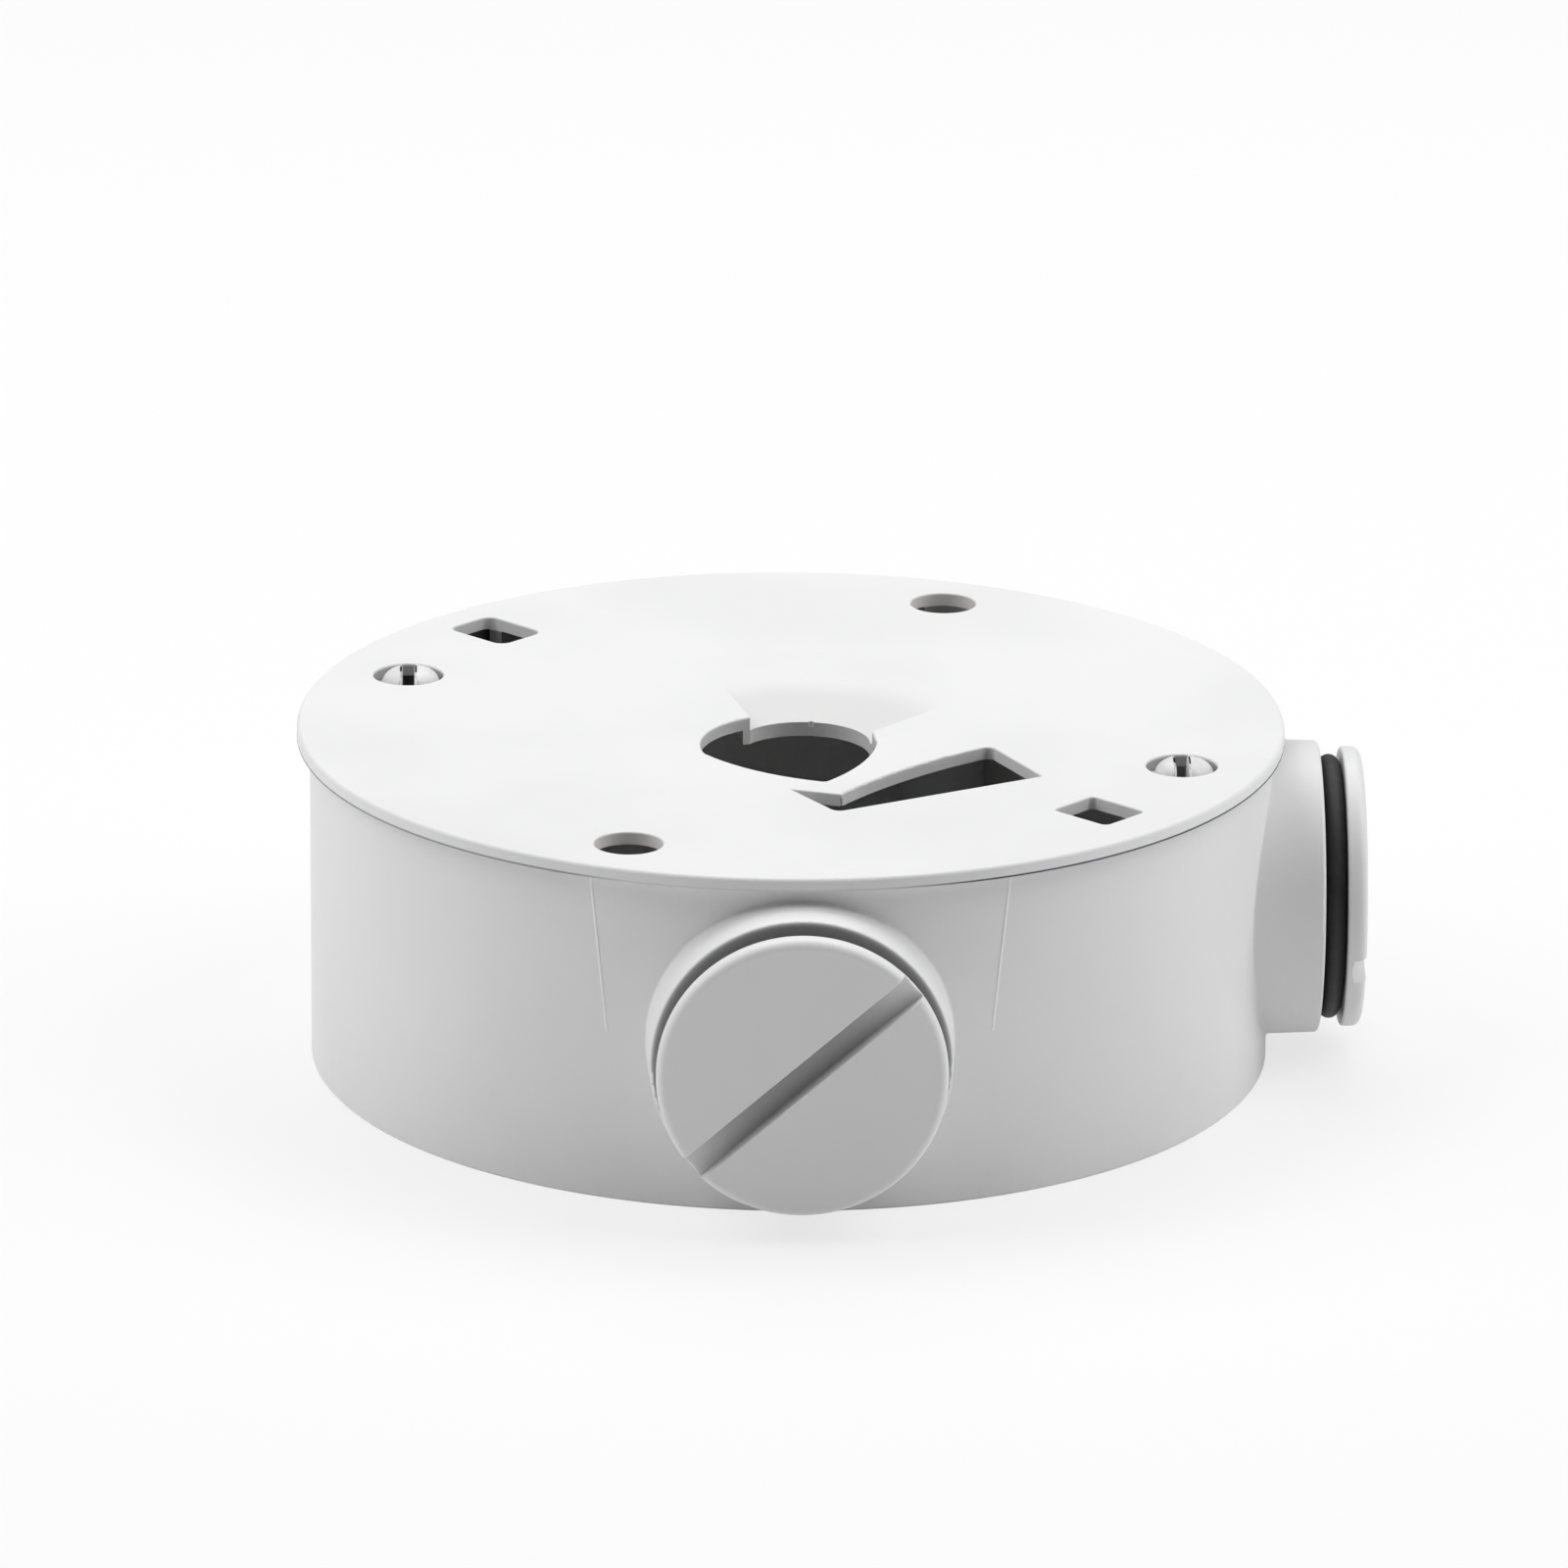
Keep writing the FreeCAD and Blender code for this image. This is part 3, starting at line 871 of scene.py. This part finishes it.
@dataclass
class ThreadRidge:
    """Helical ridge round an upright axis, whose ends run out into the core."""

    name: str
    core: float
    crest: float
    low: float
    turns: int
    pitch: float = 1.5
    foot_width: float = 1.15
    crest_width: float = 0.2
    phase: float = 0.0
    steps: int = 72

    def build(self) -> bpy.types.Object:
        """Make the ridge along +Z with its place in its mesh."""
        Bench.clear()
        bpy.ops.mesh.primitive_plane_add(size=1, rotation=(math.radians(90), 0, 0))
        bpy.ops.object.transform_apply(location=True, rotation=True, scale=True)
        ridge = Bench.named(self.name)
        for vertex in ridge.data.vertices:
            outer = vertex.co.x > 0
            half = (self.crest_width if outer else self.foot_width) / 2
            level = self.low + self.phase * self.pitch + (half if vertex.co.z > 0 else -half)
            vertex.co = Vector(((self.crest if outer else self.core) * MM, 0, level * MM))
        with Bench.editing(ridge):
            bpy.ops.mesh.select_all(action="SELECT")
            bpy.ops.mesh.delete(type="ONLY_FACE")
        Bench.modify(ridge, "SCREW", axis="Z", angle=math.tau, screw_offset=self.pitch * MM,
                     iterations=self.turns, steps=self.steps, render_steps=self.steps,
                     use_merge_vertices=False, use_smooth_shade=True)
        self._run_out(ridge)
        with Bench.editing(ridge, "EDGE"):
            Bench.pick_edges(ridge, lambda edge: edge.is_boundary)
            bpy.ops.mesh.edge_face_add()
            Bench.face_outwards()
        Bench.smooth(ridge, 30)
        return ridge

    def _run_out(self, ridge: bpy.types.Object) -> None:
        """Let the crest sink into the core over the first and last quarter turn.

        Args:
            ridge: The ridge, whose rings of four vertices follow one another.
        """
        rings = len(ridge.data.vertices) // 4
        for index, vertex in enumerate(ridge.data.vertices):
            ring = index // 4
            share = min(ring, rings - 1 - ring) / (self.steps / 4)
            if share >= 1:
                continue
            radius = math.hypot(vertex.co.x, vertex.co.y)
            wanted = self.core * MM + (radius - self.core * MM) * max(share, 0.0) ** 0.5
            vertex.co.x *= wanted / radius
            vertex.co.y *= wanted / radius


@dataclass
class BlankingPlug:
    """Coin-slot plug with a rounded head, a threaded shank and a hollow end."""

    outlet: Outlet
    slot_angle: float
    sizes: BoxSizes = field(default_factory=BoxSizes)
    head_radius: float = 14.25
    head_low: float = 56.0
    head_edge: float = 0.9
    under_edge: float = 0.25
    neck_radius: float = 11.25
    thread_high: float = 53.1
    thread_turns: int = 5
    core_radius: float = 11.6
    crest_radius: float = 12.45
    hollow_radius: float = 9.5
    hollow_high: float = 54.4
    slot_width: float = 2.75
    slot_rim_depth: float = 1.1
    slot_edge: float = 0.11
    slot_end_edge: float = 0.3
    end_edge: float = 0.5
    thread_sunk: float = 0.05

    @property
    def node(self) -> str:
        """The CAD node that the plug stands for."""
        return f"{self.outlet.value}_plug"

    def _body(self) -> bpy.types.Object:
        """Head, neck, core and hollow, by insets and extrusions of one cylinder."""
        plug = Bench.cylinder(f"{self.node}_threaded", self.head_radius, self.head_low,
                              self.sizes.plug_face, 180)
        with Bench.editing(plug):
            Bench.pick_faces(plug, lambda face: face.normal.z < -0.9)
            bpy.ops.mesh.inset(thickness=(self.head_radius - self.neck_radius) * MM)
            Bench.step(self.thread_high - self.head_low)
            Bench.step(0)
            grow = self.core_radius / self.neck_radius
            bpy.ops.transform.resize(value=(grow, grow, 1))
            Bench.step(self.sizes.thread_low + self.end_edge - self.thread_high)
            Bench.step(-self.end_edge)
            shrink = (self.core_radius - self.end_edge) / self.core_radius
            bpy.ops.transform.resize(value=(shrink, shrink, 1))
            bpy.ops.mesh.inset(thickness=(self.core_radius - self.end_edge - self.hollow_radius) * MM)
            Bench.step(self.hollow_high - self.sizes.thread_low)
        with Bench.editing(plug, "EDGE"):
            self._round_rim(plug, self.sizes.plug_face, self.head_edge, 8)
            self._round_rim(plug, self.head_low, self.under_edge, 3)
        return plug

    def _round_rim(self, plug: bpy.types.Object, level: float, radius: float, segments: int) -> None:
        """Round the head's rim at one height.

        Args:
            plug: The plug, in edit mode.
            level: Height of the rim's edge in millimetres.
            radius: Radius of the rounding in millimetres.
            segments: Number of its steps.
        """
        Bench.pick_edges(plug, lambda edge: all(
            abs(v.co.z - level * MM) < 1e-6 and math.hypot(v.co.x, v.co.y) > (self.head_radius - 0.1) * MM
            for v in edge.verts))
        bpy.ops.mesh.bevel(offset=radius * MM, segments=segments, affect="EDGES")

    def _cut_slot(self, plug: bpy.types.Object) -> None:
        """Cut the coin slot with a wheel, so that it is deepest in the middle, and soften its edges.

        Args:
            plug: The plug.
        """
        reach = self.head_radius + 1
        drop = self.sizes.slot_depth - self.slot_rim_depth
        wheel_radius = (reach * reach + drop * drop) / (2 * drop)
        half = self.slot_width / 2
        wheel = Bench.cylinder("wheel_cutter", wheel_radius, -half, half, 720)
        turn = math.radians(self.slot_angle)
        stand = Matrix.Rotation(turn, 4, "Z") @ Matrix.Rotation(math.radians(90), 4, "X")
        rise = (self.sizes.plug_face - self.sizes.slot_depth + wheel_radius) * MM
        Bench.place(wheel, Matrix.Translation((0, 0, rise)) @ stand)
        Bench.cut(plug, wheel)
        across = Vector((-math.sin(turn), math.cos(turn), 0))
        floor = (self.sizes.plug_face - self.slot_rim_depth + 0.3) * MM
        with Bench.editing(plug, "EDGE"):
            Bench.pick_edges(plug, lambda edge: all(
                abs(abs(v.co.dot(across)) - half * MM) < 2e-6 and v.co.z > floor for v in edge.verts)
                and len(edge.link_faces) == 2 and edge.calc_face_angle(0) > 0.5)
            bpy.ops.mesh.bevel(offset=self.slot_edge * MM, segments=3, affect="EDGES")
            Bench.pick_edges(plug, lambda edge: all(
                abs(v.co.dot(across)) < (half + 0.001) * MM and abs(v.co.z - floor) < 0.5 * MM
                and math.hypot(v.co.x, v.co.y) > (self.head_radius - 0.02) * MM for v in edge.verts)
                and abs(edge.verts[0].co.z - edge.verts[1].co.z) < 0.05 * MM
                and edge.calc_face_angle(0) > 0.8)
            bpy.ops.mesh.bevel(offset=self.slot_end_edge * MM, segments=4, affect="EDGES")
            Bench.merge_doubles(0.01)

    def build(self, finishes: Finishes) -> bpy.types.Object:
        """Make the plug in its outlet and dress it.

        Args:
            finishes: The scene's materials.

        Returns:
            The finished plug.
        """
        plug = self._body()
        self._cut_slot(plug)
        Bench.smooth(plug, 32)
        thread = ThreadRidge(f"{self.node}_thread", self.core_radius - self.thread_sunk, self.crest_radius,
                             self.sizes.thread_low + self.sizes.thread_lead, self.thread_turns).build()
        Bench.join(plug, [thread])
        Bench.even_flats(plug)
        Bench.place(plug, Matrix.Translation((0, 0, self.sizes.outlet_height * MM)) @ self.outlet.turn)
        dress(plug, finishes.plug)
        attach(plug, self.node)
        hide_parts(self.node)
        return plug


@dataclass
class OutletThread:
    """Thread inside an outlet's bore, half a pitch from the plug's."""

    outlet: Outlet
    sizes: BoxSizes = field(default_factory=BoxSizes)
    sunk: float = 0.06
    depth: float = 0.5
    turns: int = 6
    foot_width: float = 0.95

    def build(self, finishes: Finishes) -> bpy.types.Object:
        """Make the thread in its bore and dress it.

        Args:
            finishes: The scene's materials.

        Returns:
            The thread.
        """
        sizes = self.sizes
        ridge = ThreadRidge(f"{self.outlet.value}_outlet_thread", sizes.bore_radius + self.sunk,
                            sizes.bore_radius - self.depth,
                            sizes.thread_low + sizes.thread_lead - sizes.thread_pitch, self.turns,
                            phase=0.5, foot_width=self.foot_width).build()
        Bench.place(ridge, Matrix.Translation((0, 0, self.sizes.outlet_height * MM)) @ self.outlet.turn)
        dress(ridge, finishes.housing)
        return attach(ridge, "box")


@dataclass
class InsertThreads:
    """Machine thread inside the two metal inserts."""

    sizes: BoxSizes = field(default_factory=BoxSizes)
    core: float = 1.66
    crest: float = 1.48
    depth: float = 7.4
    turns: int = 10
    pitch: float = 0.7
    foot_width: float = 0.55
    crest_width: float = 0.1

    def build(self, finishes: Finishes) -> list[bpy.types.Object]:
        """Make both threads and dress them.

        Args:
            finishes: The scene's materials.

        Returns:
            The far and the near thread.
        """
        made = []
        for name, (x, y) in zip(("far", "near"), self.sizes.screw_posts()):
            ridge = ThreadRidge(f"{name}_insert_thread", self.core, self.crest,
                                self.sizes.screw_post_top - self.depth, self.turns, pitch=self.pitch,
                                foot_width=self.foot_width, crest_width=self.crest_width, steps=32).build()
            Bench.place(ridge, Matrix.Translation((x * MM, y * MM, 0)))
            dress(ridge, finishes.brass)
            made.append(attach(ridge, "box"))
        return made


@dataclass
class SlideLines:
    """Fine raised lines that the mould's slide leaves on the wall beside the front outlet."""

    sizes: BoxSizes = field(default_factory=BoxSizes)
    top_offset: float = 20.55
    foot_offset: float = 18.95
    top: float = 33.3
    foot: float = 17.5
    width: float = 0.22
    proud: float = 0.035
    sunk: float = 0.25
    cuts: int = 23

    def _strip(self, name: str, start: Spot, end: Spot) -> bpy.types.Object:
        """Raised line on the wall between two points.

        Args:
            name: Name of the new object.
            start: X and height of the first point.
            end: X and height of the second point.

        Returns:
            The line, bent to the wall's round.
        """
        length = math.dist(start, end)
        strip = Bench.cuboid(name, (0, -self.proud, -self.width / 2), (length, self.sunk, self.width / 2))
        with Bench.editing(strip, "EDGE"):
            Bench.pick_edges(strip, lambda edge: abs(edge.verts[0].co.x - edge.verts[1].co.x) > 1e-6)
            bpy.ops.mesh.subdivide(number_cuts=self.cuts)
        with Bench.editing(strip, "EDGE"):
            Bench.pick_edges(strip, lambda edge: all(v.co.y < 0 for v in edge.verts)
                             and abs(edge.verts[0].co.x - edge.verts[1].co.x) > 1e-6
                             and abs(edge.verts[0].co.z - edge.verts[1].co.z) < 1e-7)
            bpy.ops.mesh.bevel(offset=self.proud * 0.9 * MM, segments=3, affect="EDGES")
        along = Vector((end[0] - start[0], 0, end[1] - start[1])).normalized()
        across = Vector((-along.z, 0, along.x))
        for vertex in strip.data.vertices:
            depth = vertex.co.y
            flat = Vector((start[0], 0, start[1])) * MM + along * vertex.co.x + across * vertex.co.z
            reach = self.sizes.body_radius * MM - depth
            vertex.co = Vector((flat.x, -math.sqrt(reach * reach - flat.x * flat.x), flat.z))
        return strip

    def build(self, finishes: Finishes) -> bpy.types.Object:
        """Make the lines as one piece and dress them.

        Args:
            finishes: The scene's materials.

        Returns:
            The pair of lines.
        """
        strips = [self._strip(f"slide_line_{name}", (way * self.foot_offset, self.foot),
                              (way * self.top_offset, self.top))
                  for name, way in (("left", -1), ("right", 1))]
        lines = Bench.join(strips[0], strips[1:])
        lines.name = "slide_lines"
        with Bench.editing(lines):
            Bench.face_outwards()
        Bench.smooth(lines, 50)
        # the lines' lighter colour is a painted highlight
        dress(lines, finishes.line)
        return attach(lines, "box")


@dataclass
class SmoothedCopy:
    """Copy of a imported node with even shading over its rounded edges."""

    node: str
    body: MouldedPart
    angle: float = 40.0
    rim_edge: float | None = None
    rim_steps: int = 6
    rim_seam: float = 0.02
    sizes: BoxSizes = field(default_factory=BoxSizes)

    def _redraw_rim(self, piece: bpy.types.Object) -> None:
        """Draw the cover's rounded rim again in even rings, from its top face to its underside.

        Args:
            piece: The copy of the cover.
        """
        sizes = self.sizes
        ring, level = sizes.cover_radius - self.rim_edge, sizes.height - self.rim_edge
        foot = sizes.cover_underside
        turns = [math.radians(90 * i / self.rim_steps) for i in range(1, self.rim_steps + 1)]
        profile = [(ring + self.rim_edge * math.sin(turn), level + self.rim_edge * math.cos(turn))
                   for turn in turns]
        profile.append((sizes.cover_radius, foot + self.rim_seam))
        with Bench.editing(piece):
            Bench.pick_faces(piece, lambda face: abs(face.normal.z) < 0.9999 and all(
                math.hypot(v.co.x, v.co.y) > (ring - 0.002) * MM and v.co.z > (foot - 0.002) * MM
                for v in face.verts))
            bpy.ops.mesh.delete(type="FACE")
            bpy.ops.mesh.select_mode(type="EDGE")
            Bench.pick_edges(piece, lambda edge: edge.is_boundary and all(
                v.co.z > (sizes.height - 0.01) * MM for v in edge.verts))
            radius, height = ring, sizes.height
            for reach, low in profile:
                drop, grow = (low - height) * MM, reach / radius
                bpy.ops.mesh.extrude_edges_move(TRANSFORM_OT_translate={"value": (0, 0, drop)})
                bpy.ops.transform.resize(value=(grow, grow, 1), center_override=(0, 0, 0))
                radius, height = reach, low
            Bench.pick_edges(piece, lambda edge: edge.is_boundary)
            bpy.ops.mesh.bridge_edge_loops()
            Bench.face_outwards()

    def _shade_rim(self, piece: bpy.types.Object) -> None:
        """Shade the cover's top as flat, its rounded rim as a torus and its edge as a cylinder.

        Args:
            piece: The copy of the cover.
        """
        ring = (self.sizes.cover_radius - self.rim_edge) * MM
        level = (self.sizes.height - self.rim_edge) * MM
        mesh = piece.data
        normals = [corner.vector.copy() for corner in mesh.corner_normals]
        for face in mesh.polygons:
            points = [mesh.vertices[i].co for i in face.vertices]
            if face.normal.z > 0.9999 and all(p.z > (self.sizes.height - 0.001) * MM for p in points):
                for corner in face.loop_indices:
                    normals[corner] = Vector((0, 0, 1))
            elif abs(face.normal.z) < 0.9999 and all(math.hypot(p.x, p.y) > ring - 2e-6 for p in points):
                for corner, p in zip(face.loop_indices, points):
                    reach = math.hypot(p.x, p.y)
                    out = (reach - ring) / reach
                    normals[corner] = Vector((p.x * out, p.y * out, max(0.0, p.z - level))).normalized()
        mesh.normals_split_custom_set(normals)

    def build(self, finishes: Finishes) -> bpy.types.Object:
        """Make the copy, dress it and let it stand for the node.

        Args:
            finishes: The scene's materials.

        Returns:
            The copy.
        """
        redraw = None if self.rim_edge is None else self._redraw_rim
        piece = Bench.merged_copy(self.node, f"{self.node}_smoothed", self.angle, redraw)
        if self.rim_edge is not None:
            self._shade_rim(piece)
        dress(piece, finishes.moulded(self.body))
        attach(piece, self.body.value)
        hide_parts(self.node)
        return piece


@dataclass
class PostTips:
    """Rounded tips of the two split posts, which stand a little proud of the cover."""

    sizes: BoxSizes = field(default_factory=BoxSizes)
    radius: float = 3.0
    lean: float = 0.25
    low: float = 32.8
    proud: float = 0.55
    edge: float = 1.7
    slot_width: float = 1.24
    slot_edge: float = 0.25

    def _tip(self, centre: Spot) -> bpy.types.Object:
        """One tip: a cylinder with a rounded top, split by a slot with softened edges.

        Args:
            centre: Plan position of the post in millimetres.

        Returns:
            The tip.
        """
        top = self.sizes.height + self.proud
        tip = Bench.cylinder("post_tip", self.radius, self.low, top, 72, (centre[0] + self.lean, centre[1]))
        with Bench.editing(tip, "EDGE"):
            Bench.pick_edges(tip, lambda edge: all(abs(v.co.z - top * MM) < 1e-7 for v in edge.verts))
            bpy.ops.mesh.bevel(offset=self.edge * MM, segments=8, affect="EDGES")
        half = self.slot_width / 2
        reach = self.radius + 1
        slot = Bench.cuboid("slot_cutter", (centre[0] - half, centre[1] - reach, self.low - 1),
                            (centre[0] + half, centre[1] + reach, top + 1))
        Bench.cut(tip, slot)
        with Bench.editing(tip, "EDGE"):
            Bench.pick_edges(tip, lambda edge: all(
                abs(abs(v.co.x - centre[0] * MM) - half * MM) < 1e-6 and v.co.z > (top - self.edge) * MM
                for v in edge.verts) and edge.calc_face_angle(0) > 0.5)
            bpy.ops.mesh.bevel(offset=self.slot_edge * MM, segments=3, affect="EDGES")
            Bench.merge_doubles(0.01)
        Bench.smooth(tip, 40)
        return tip

    def build(self, finishes: Finishes) -> bpy.types.Object:
        """Make both tips as one piece and dress them.

        Args:
            finishes: The scene's materials.

        Returns:
            The pair of tips.
        """
        tips = [self._tip(centre) for centre in self.sizes.split_posts()]
        joined = Bench.join(tips[0], tips[1:])
        joined.name = "split_post_tips"
        Bench.even_flats(joined)
        dress(joined, finishes.housing)
        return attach(joined, "box")


@dataclass
class EjectorMarks:
    """Shallow round witness marks that the mould's ejector pins leave on a hidden face."""

    part: MouldedPart
    level: float
    facing: float
    places: tuple[Spot, ...]
    radius: float = 2.0
    proud: float = 0.08
    sunk: float = 0.2
    rim: float = 0.3
    dish: float = 0.04
    edge: float = 0.05

    def _mark(self, name: str, place: Spot) -> bpy.types.Object:
        """One mark: a disc with a soft rim and a slight dish.

        Args:
            name: Name of the new object.
            place: Plan position of the mark in millimetres.

        Returns:
            The mark.
        """
        face = self.level + self.facing * self.proud
        low, high = sorted((self.level - self.facing * self.sunk, face))
        mark = Bench.cylinder(name, self.radius, low, high, 40, place)
        with Bench.editing(mark):
            Bench.pick_faces(mark, lambda side: side.normal.z * self.facing > 0.9)
            bpy.ops.mesh.inset(thickness=self.rim * MM)
            Bench.step(-self.facing * self.dish)
        with Bench.editing(mark, "EDGE"):
            Bench.pick_edges(mark, lambda edge: all(
                abs(v.co.z - face * MM) < 1e-7 for v in edge.verts) and edge.calc_face_angle(0) > 0.3)
            bpy.ops.mesh.bevel(offset=self.edge * MM, segments=2, affect="EDGES")
        return mark

    def build(self, finishes: Finishes) -> bpy.types.Object:
        """Make the marks as one piece and dress them.

        Args:
            finishes: The scene's materials.

        Returns:
            The face's marks.
        """
        name = f"{self.part.value}_ejector_marks"
        marks = [self._mark(f"{name}_{i}", place) for i, place in enumerate(self.places)]
        joined = Bench.join(marks[0], marks[1:])
        joined.name = name
        Bench.smooth(joined, 40)
        dress(joined, finishes.moulded(self.part))
        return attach(joined, self.part.value)


@dataclass
class EntryRings:
    """Cutting rings on the rubber entry, one for each cable size."""

    radii: tuple[float, ...] = (1.5, 2.5, 3.5)
    top: float = 8.6
    hidden_level: float = 7.7
    bead: float = 0.22
    flatness: float = 0.7

    def build(self, finishes: Finishes) -> bpy.types.Object:
        """Make the rings on both sides of the membrane as one piece and dress them.

        Args:
            finishes: The scene's materials.

        Returns:
            The rings.
        """
        rings = []
        for level in (self.top, self.hidden_level):
            for i, radius in enumerate(self.radii):
                Bench.clear()
                bpy.ops.mesh.primitive_torus_add(
                    major_radius=radius * MM, minor_radius=self.bead * MM, major_segments=72,
                    minor_segments=12, location=(0, 0, level * MM))
                bpy.ops.object.transform_apply(location=True, rotation=True, scale=True)
                ring = Bench.named(f"entry_ring_{level}_{i}")
                with Bench.editing(ring, "VERT"):
                    bpy.ops.mesh.select_all(action="SELECT")
                    bpy.ops.transform.resize(value=(1, 1, self.flatness), center_override=(0, 0, level * MM))
                rings.append(ring)
        joined = Bench.join(rings[0], rings[1:])
        joined.name = "entry_cutting_rings"
        Bench.smooth(joined, 60)
        dress(joined, finishes.rubber)
        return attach(joined, "box")


@dataclass
class PackedNodes:
    """Materials of the CAD nodes, four of which give way to finer pieces."""

    finishes: Finishes

    def dress_all(self) -> None:
        """Give each node its material."""
        finishes = self.finishes
        groups = (
            (finishes.housing, ("base_housing",)),
            (finishes.cover, ("cover_plate",)),
            (finishes.plug, ("front_plug", "side_plug")),
            (finishes.rubber, ("cover_gasket", "wall_seal_ring", "rear_entry_grommet",
                               "front_plug_ring", "side_plug_ring")),
            (finishes.brass, ("far_screw_insert", "near_screw_insert")),
        )
        for material, names in groups:
            for name in names:
                dress(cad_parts[name], material)
                log.info("%s dressed in %s", name, material.name)


# Studio

@dataclass(frozen=True)
class SoftBox:
    """Square lamp that looks at a point near the object, with sizes in metres."""

    name: str
    place: Place
    size: float
    power: float
    target: Place = (0.0, 0.0, 0.02)

    def build(self) -> bpy.types.Object:
        """Make the lamp."""
        data = bpy.data.lights.new(self.name, "AREA")
        data.shape = "SQUARE"
        data.size = self.size
        data.energy = self.power
        lamp = bpy.data.objects.new(self.name, data)
        lamp.location = self.place
        lamp.rotation_mode = "QUATERNION"
        lamp.rotation_quaternion = (Vector(self.target) - Vector(self.place)).to_track_quat("-Z", "Y")
        bpy.context.scene.collection.objects.link(lamp)
        return lamp


def turned(first: Vector, second: Vector, angle: float) -> tuple[Vector, Vector]:
    """Turn two square directions in their plane, the first towards the second.

    Args:
        first: The first direction.
        second: The second direction.
        angle: The turn in radians.

    Returns:
        Both directions after the turn.
    """
    return (first * math.cos(angle) + second * math.sin(angle),
            second * math.cos(angle) - first * math.sin(angle))


@dataclass(frozen=True)
class PhotoCamera:
    """Camera at the photograph's viewing angle. Angles are in radians."""

    focal_px: float = 12091.75
    frame_px: float = 1600.0
    distance: float = 1.2
    elevation: float = 0.316665
    azimuth: float = -0.024103
    roll: float = 0.00679
    pan: float = -0.000574
    tilt: float = -0.005469
    aim_height: float = 0.035
    sensor: float = 36.0

    def build(self) -> bpy.types.Object:
        """Make the camera and use it for the scene."""
        back = Vector((math.sin(self.azimuth) * math.cos(self.elevation),
                       -math.cos(self.azimuth) * math.cos(self.elevation), math.sin(self.elevation)))
        right = Vector((math.cos(self.azimuth), math.sin(self.azimuth), 0))
        up = back.cross(right)
        right, up = turned(right, up, self.roll)
        ahead, right = turned(-back, right, self.pan)
        ahead, up = turned(ahead, up, self.tilt)
        data = bpy.data.cameras.new("photo_camera")
        data.sensor_fit = "HORIZONTAL"
        data.sensor_width = self.sensor
        data.lens = self.sensor * self.focal_px / self.frame_px
        data.clip_start = 0.05
        data.clip_end = 20.0
        camera = bpy.data.objects.new("photo_camera", data)
        turn = Matrix((right, up, -ahead)).transposed()
        place = back * self.distance + Vector((0, 0, self.aim_height))
        camera.matrix_world = Matrix.Translation(place) @ turn.to_4x4()
        bpy.context.scene.collection.objects.link(camera)
        bpy.context.scene.camera = camera
        return camera


@dataclass
class Studio:
    """Plain pale floor, soft lamps and an even surround."""

    floor_size: float = 8.0
    surround: float = 0.045
    lamps: tuple[SoftBox, ...] = (
        SoftBox("top_box", (0.0, 0.52, 0.97), 0.8, 5.5),
        SoftBox("left_low_box", (-0.999, 0.0, 0.324), 0.8, 2.0),
        SoftBox("left_high_box", (-0.675, 0.0, 0.804), 0.8, 5.2),
        SoftBox("right_low_box", (0.999, 0.0, 0.324), 0.8, 2.35),
        SoftBox("right_high_box", (0.675, 0.0, 0.804), 0.8, 5.4),
    )

    def build(self) -> None:
        """Make the floor, the surround, the lamps and the camera."""
        Bench.clear()
        bpy.ops.mesh.primitive_plane_add(size=self.floor_size)
        floor = Bench.named("studio_floor")
        dress(floor, StudioFloor().build())
        world = bpy.data.worlds.new("studio_surround")
        world.use_nodes = True
        back = world.node_tree.nodes["Background"]
        back.inputs["Color"].default_value = (1, 1, 1, 1)
        back.inputs["Strength"].default_value = self.surround
        bpy.context.scene.world = world
        for lamp in self.lamps:
            lamp.build()
        PhotoCamera().build()
        bpy.context.scene.view_settings.view_transform = "Standard"


def main() -> None:
    """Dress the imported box, add its finer pieces and set up the studio."""
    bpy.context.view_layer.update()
    sizes = BoxSizes()
    finishes = Finishes()
    PackedNodes(finishes).dress_all()
    assemblies = [
        BlankingPlug(Outlet.FRONT, 41.0),
        BlankingPlug(Outlet.SIDE, 19.0),
        OutletThread(Outlet.FRONT),
        OutletThread(Outlet.SIDE),
        InsertThreads(),
        SlideLines(),
        SmoothedCopy("cover_plate", MouldedPart.COVER, rim_edge=0.45),
        SmoothedCopy("base_housing", MouldedPart.BOX),
        PostTips(),
        EjectorMarks(MouldedPart.BOX, sizes.floor, 1.0,
                     ((-30, 0), (0, 30), (-18, -30), (18, 26), (-16, 22), (20, -22))),
        EjectorMarks(MouldedPart.COVER, sizes.cover_underside, -1.0,
                     ((-30, 8), (-22, -26), (0, 36), (30, 8), (-14, 26), (22, 26))),
        EntryRings(),
    ]
    for assembly in assemblies:
        made = assembly.build(finishes)
        for piece in made if isinstance(made, list) else [made]:
            log.info("%s made, %d faces", piece.name, len(piece.data.polygons))
    Studio().build()
    log.info("sizes written")


if __name__ == "__main__":
    main()
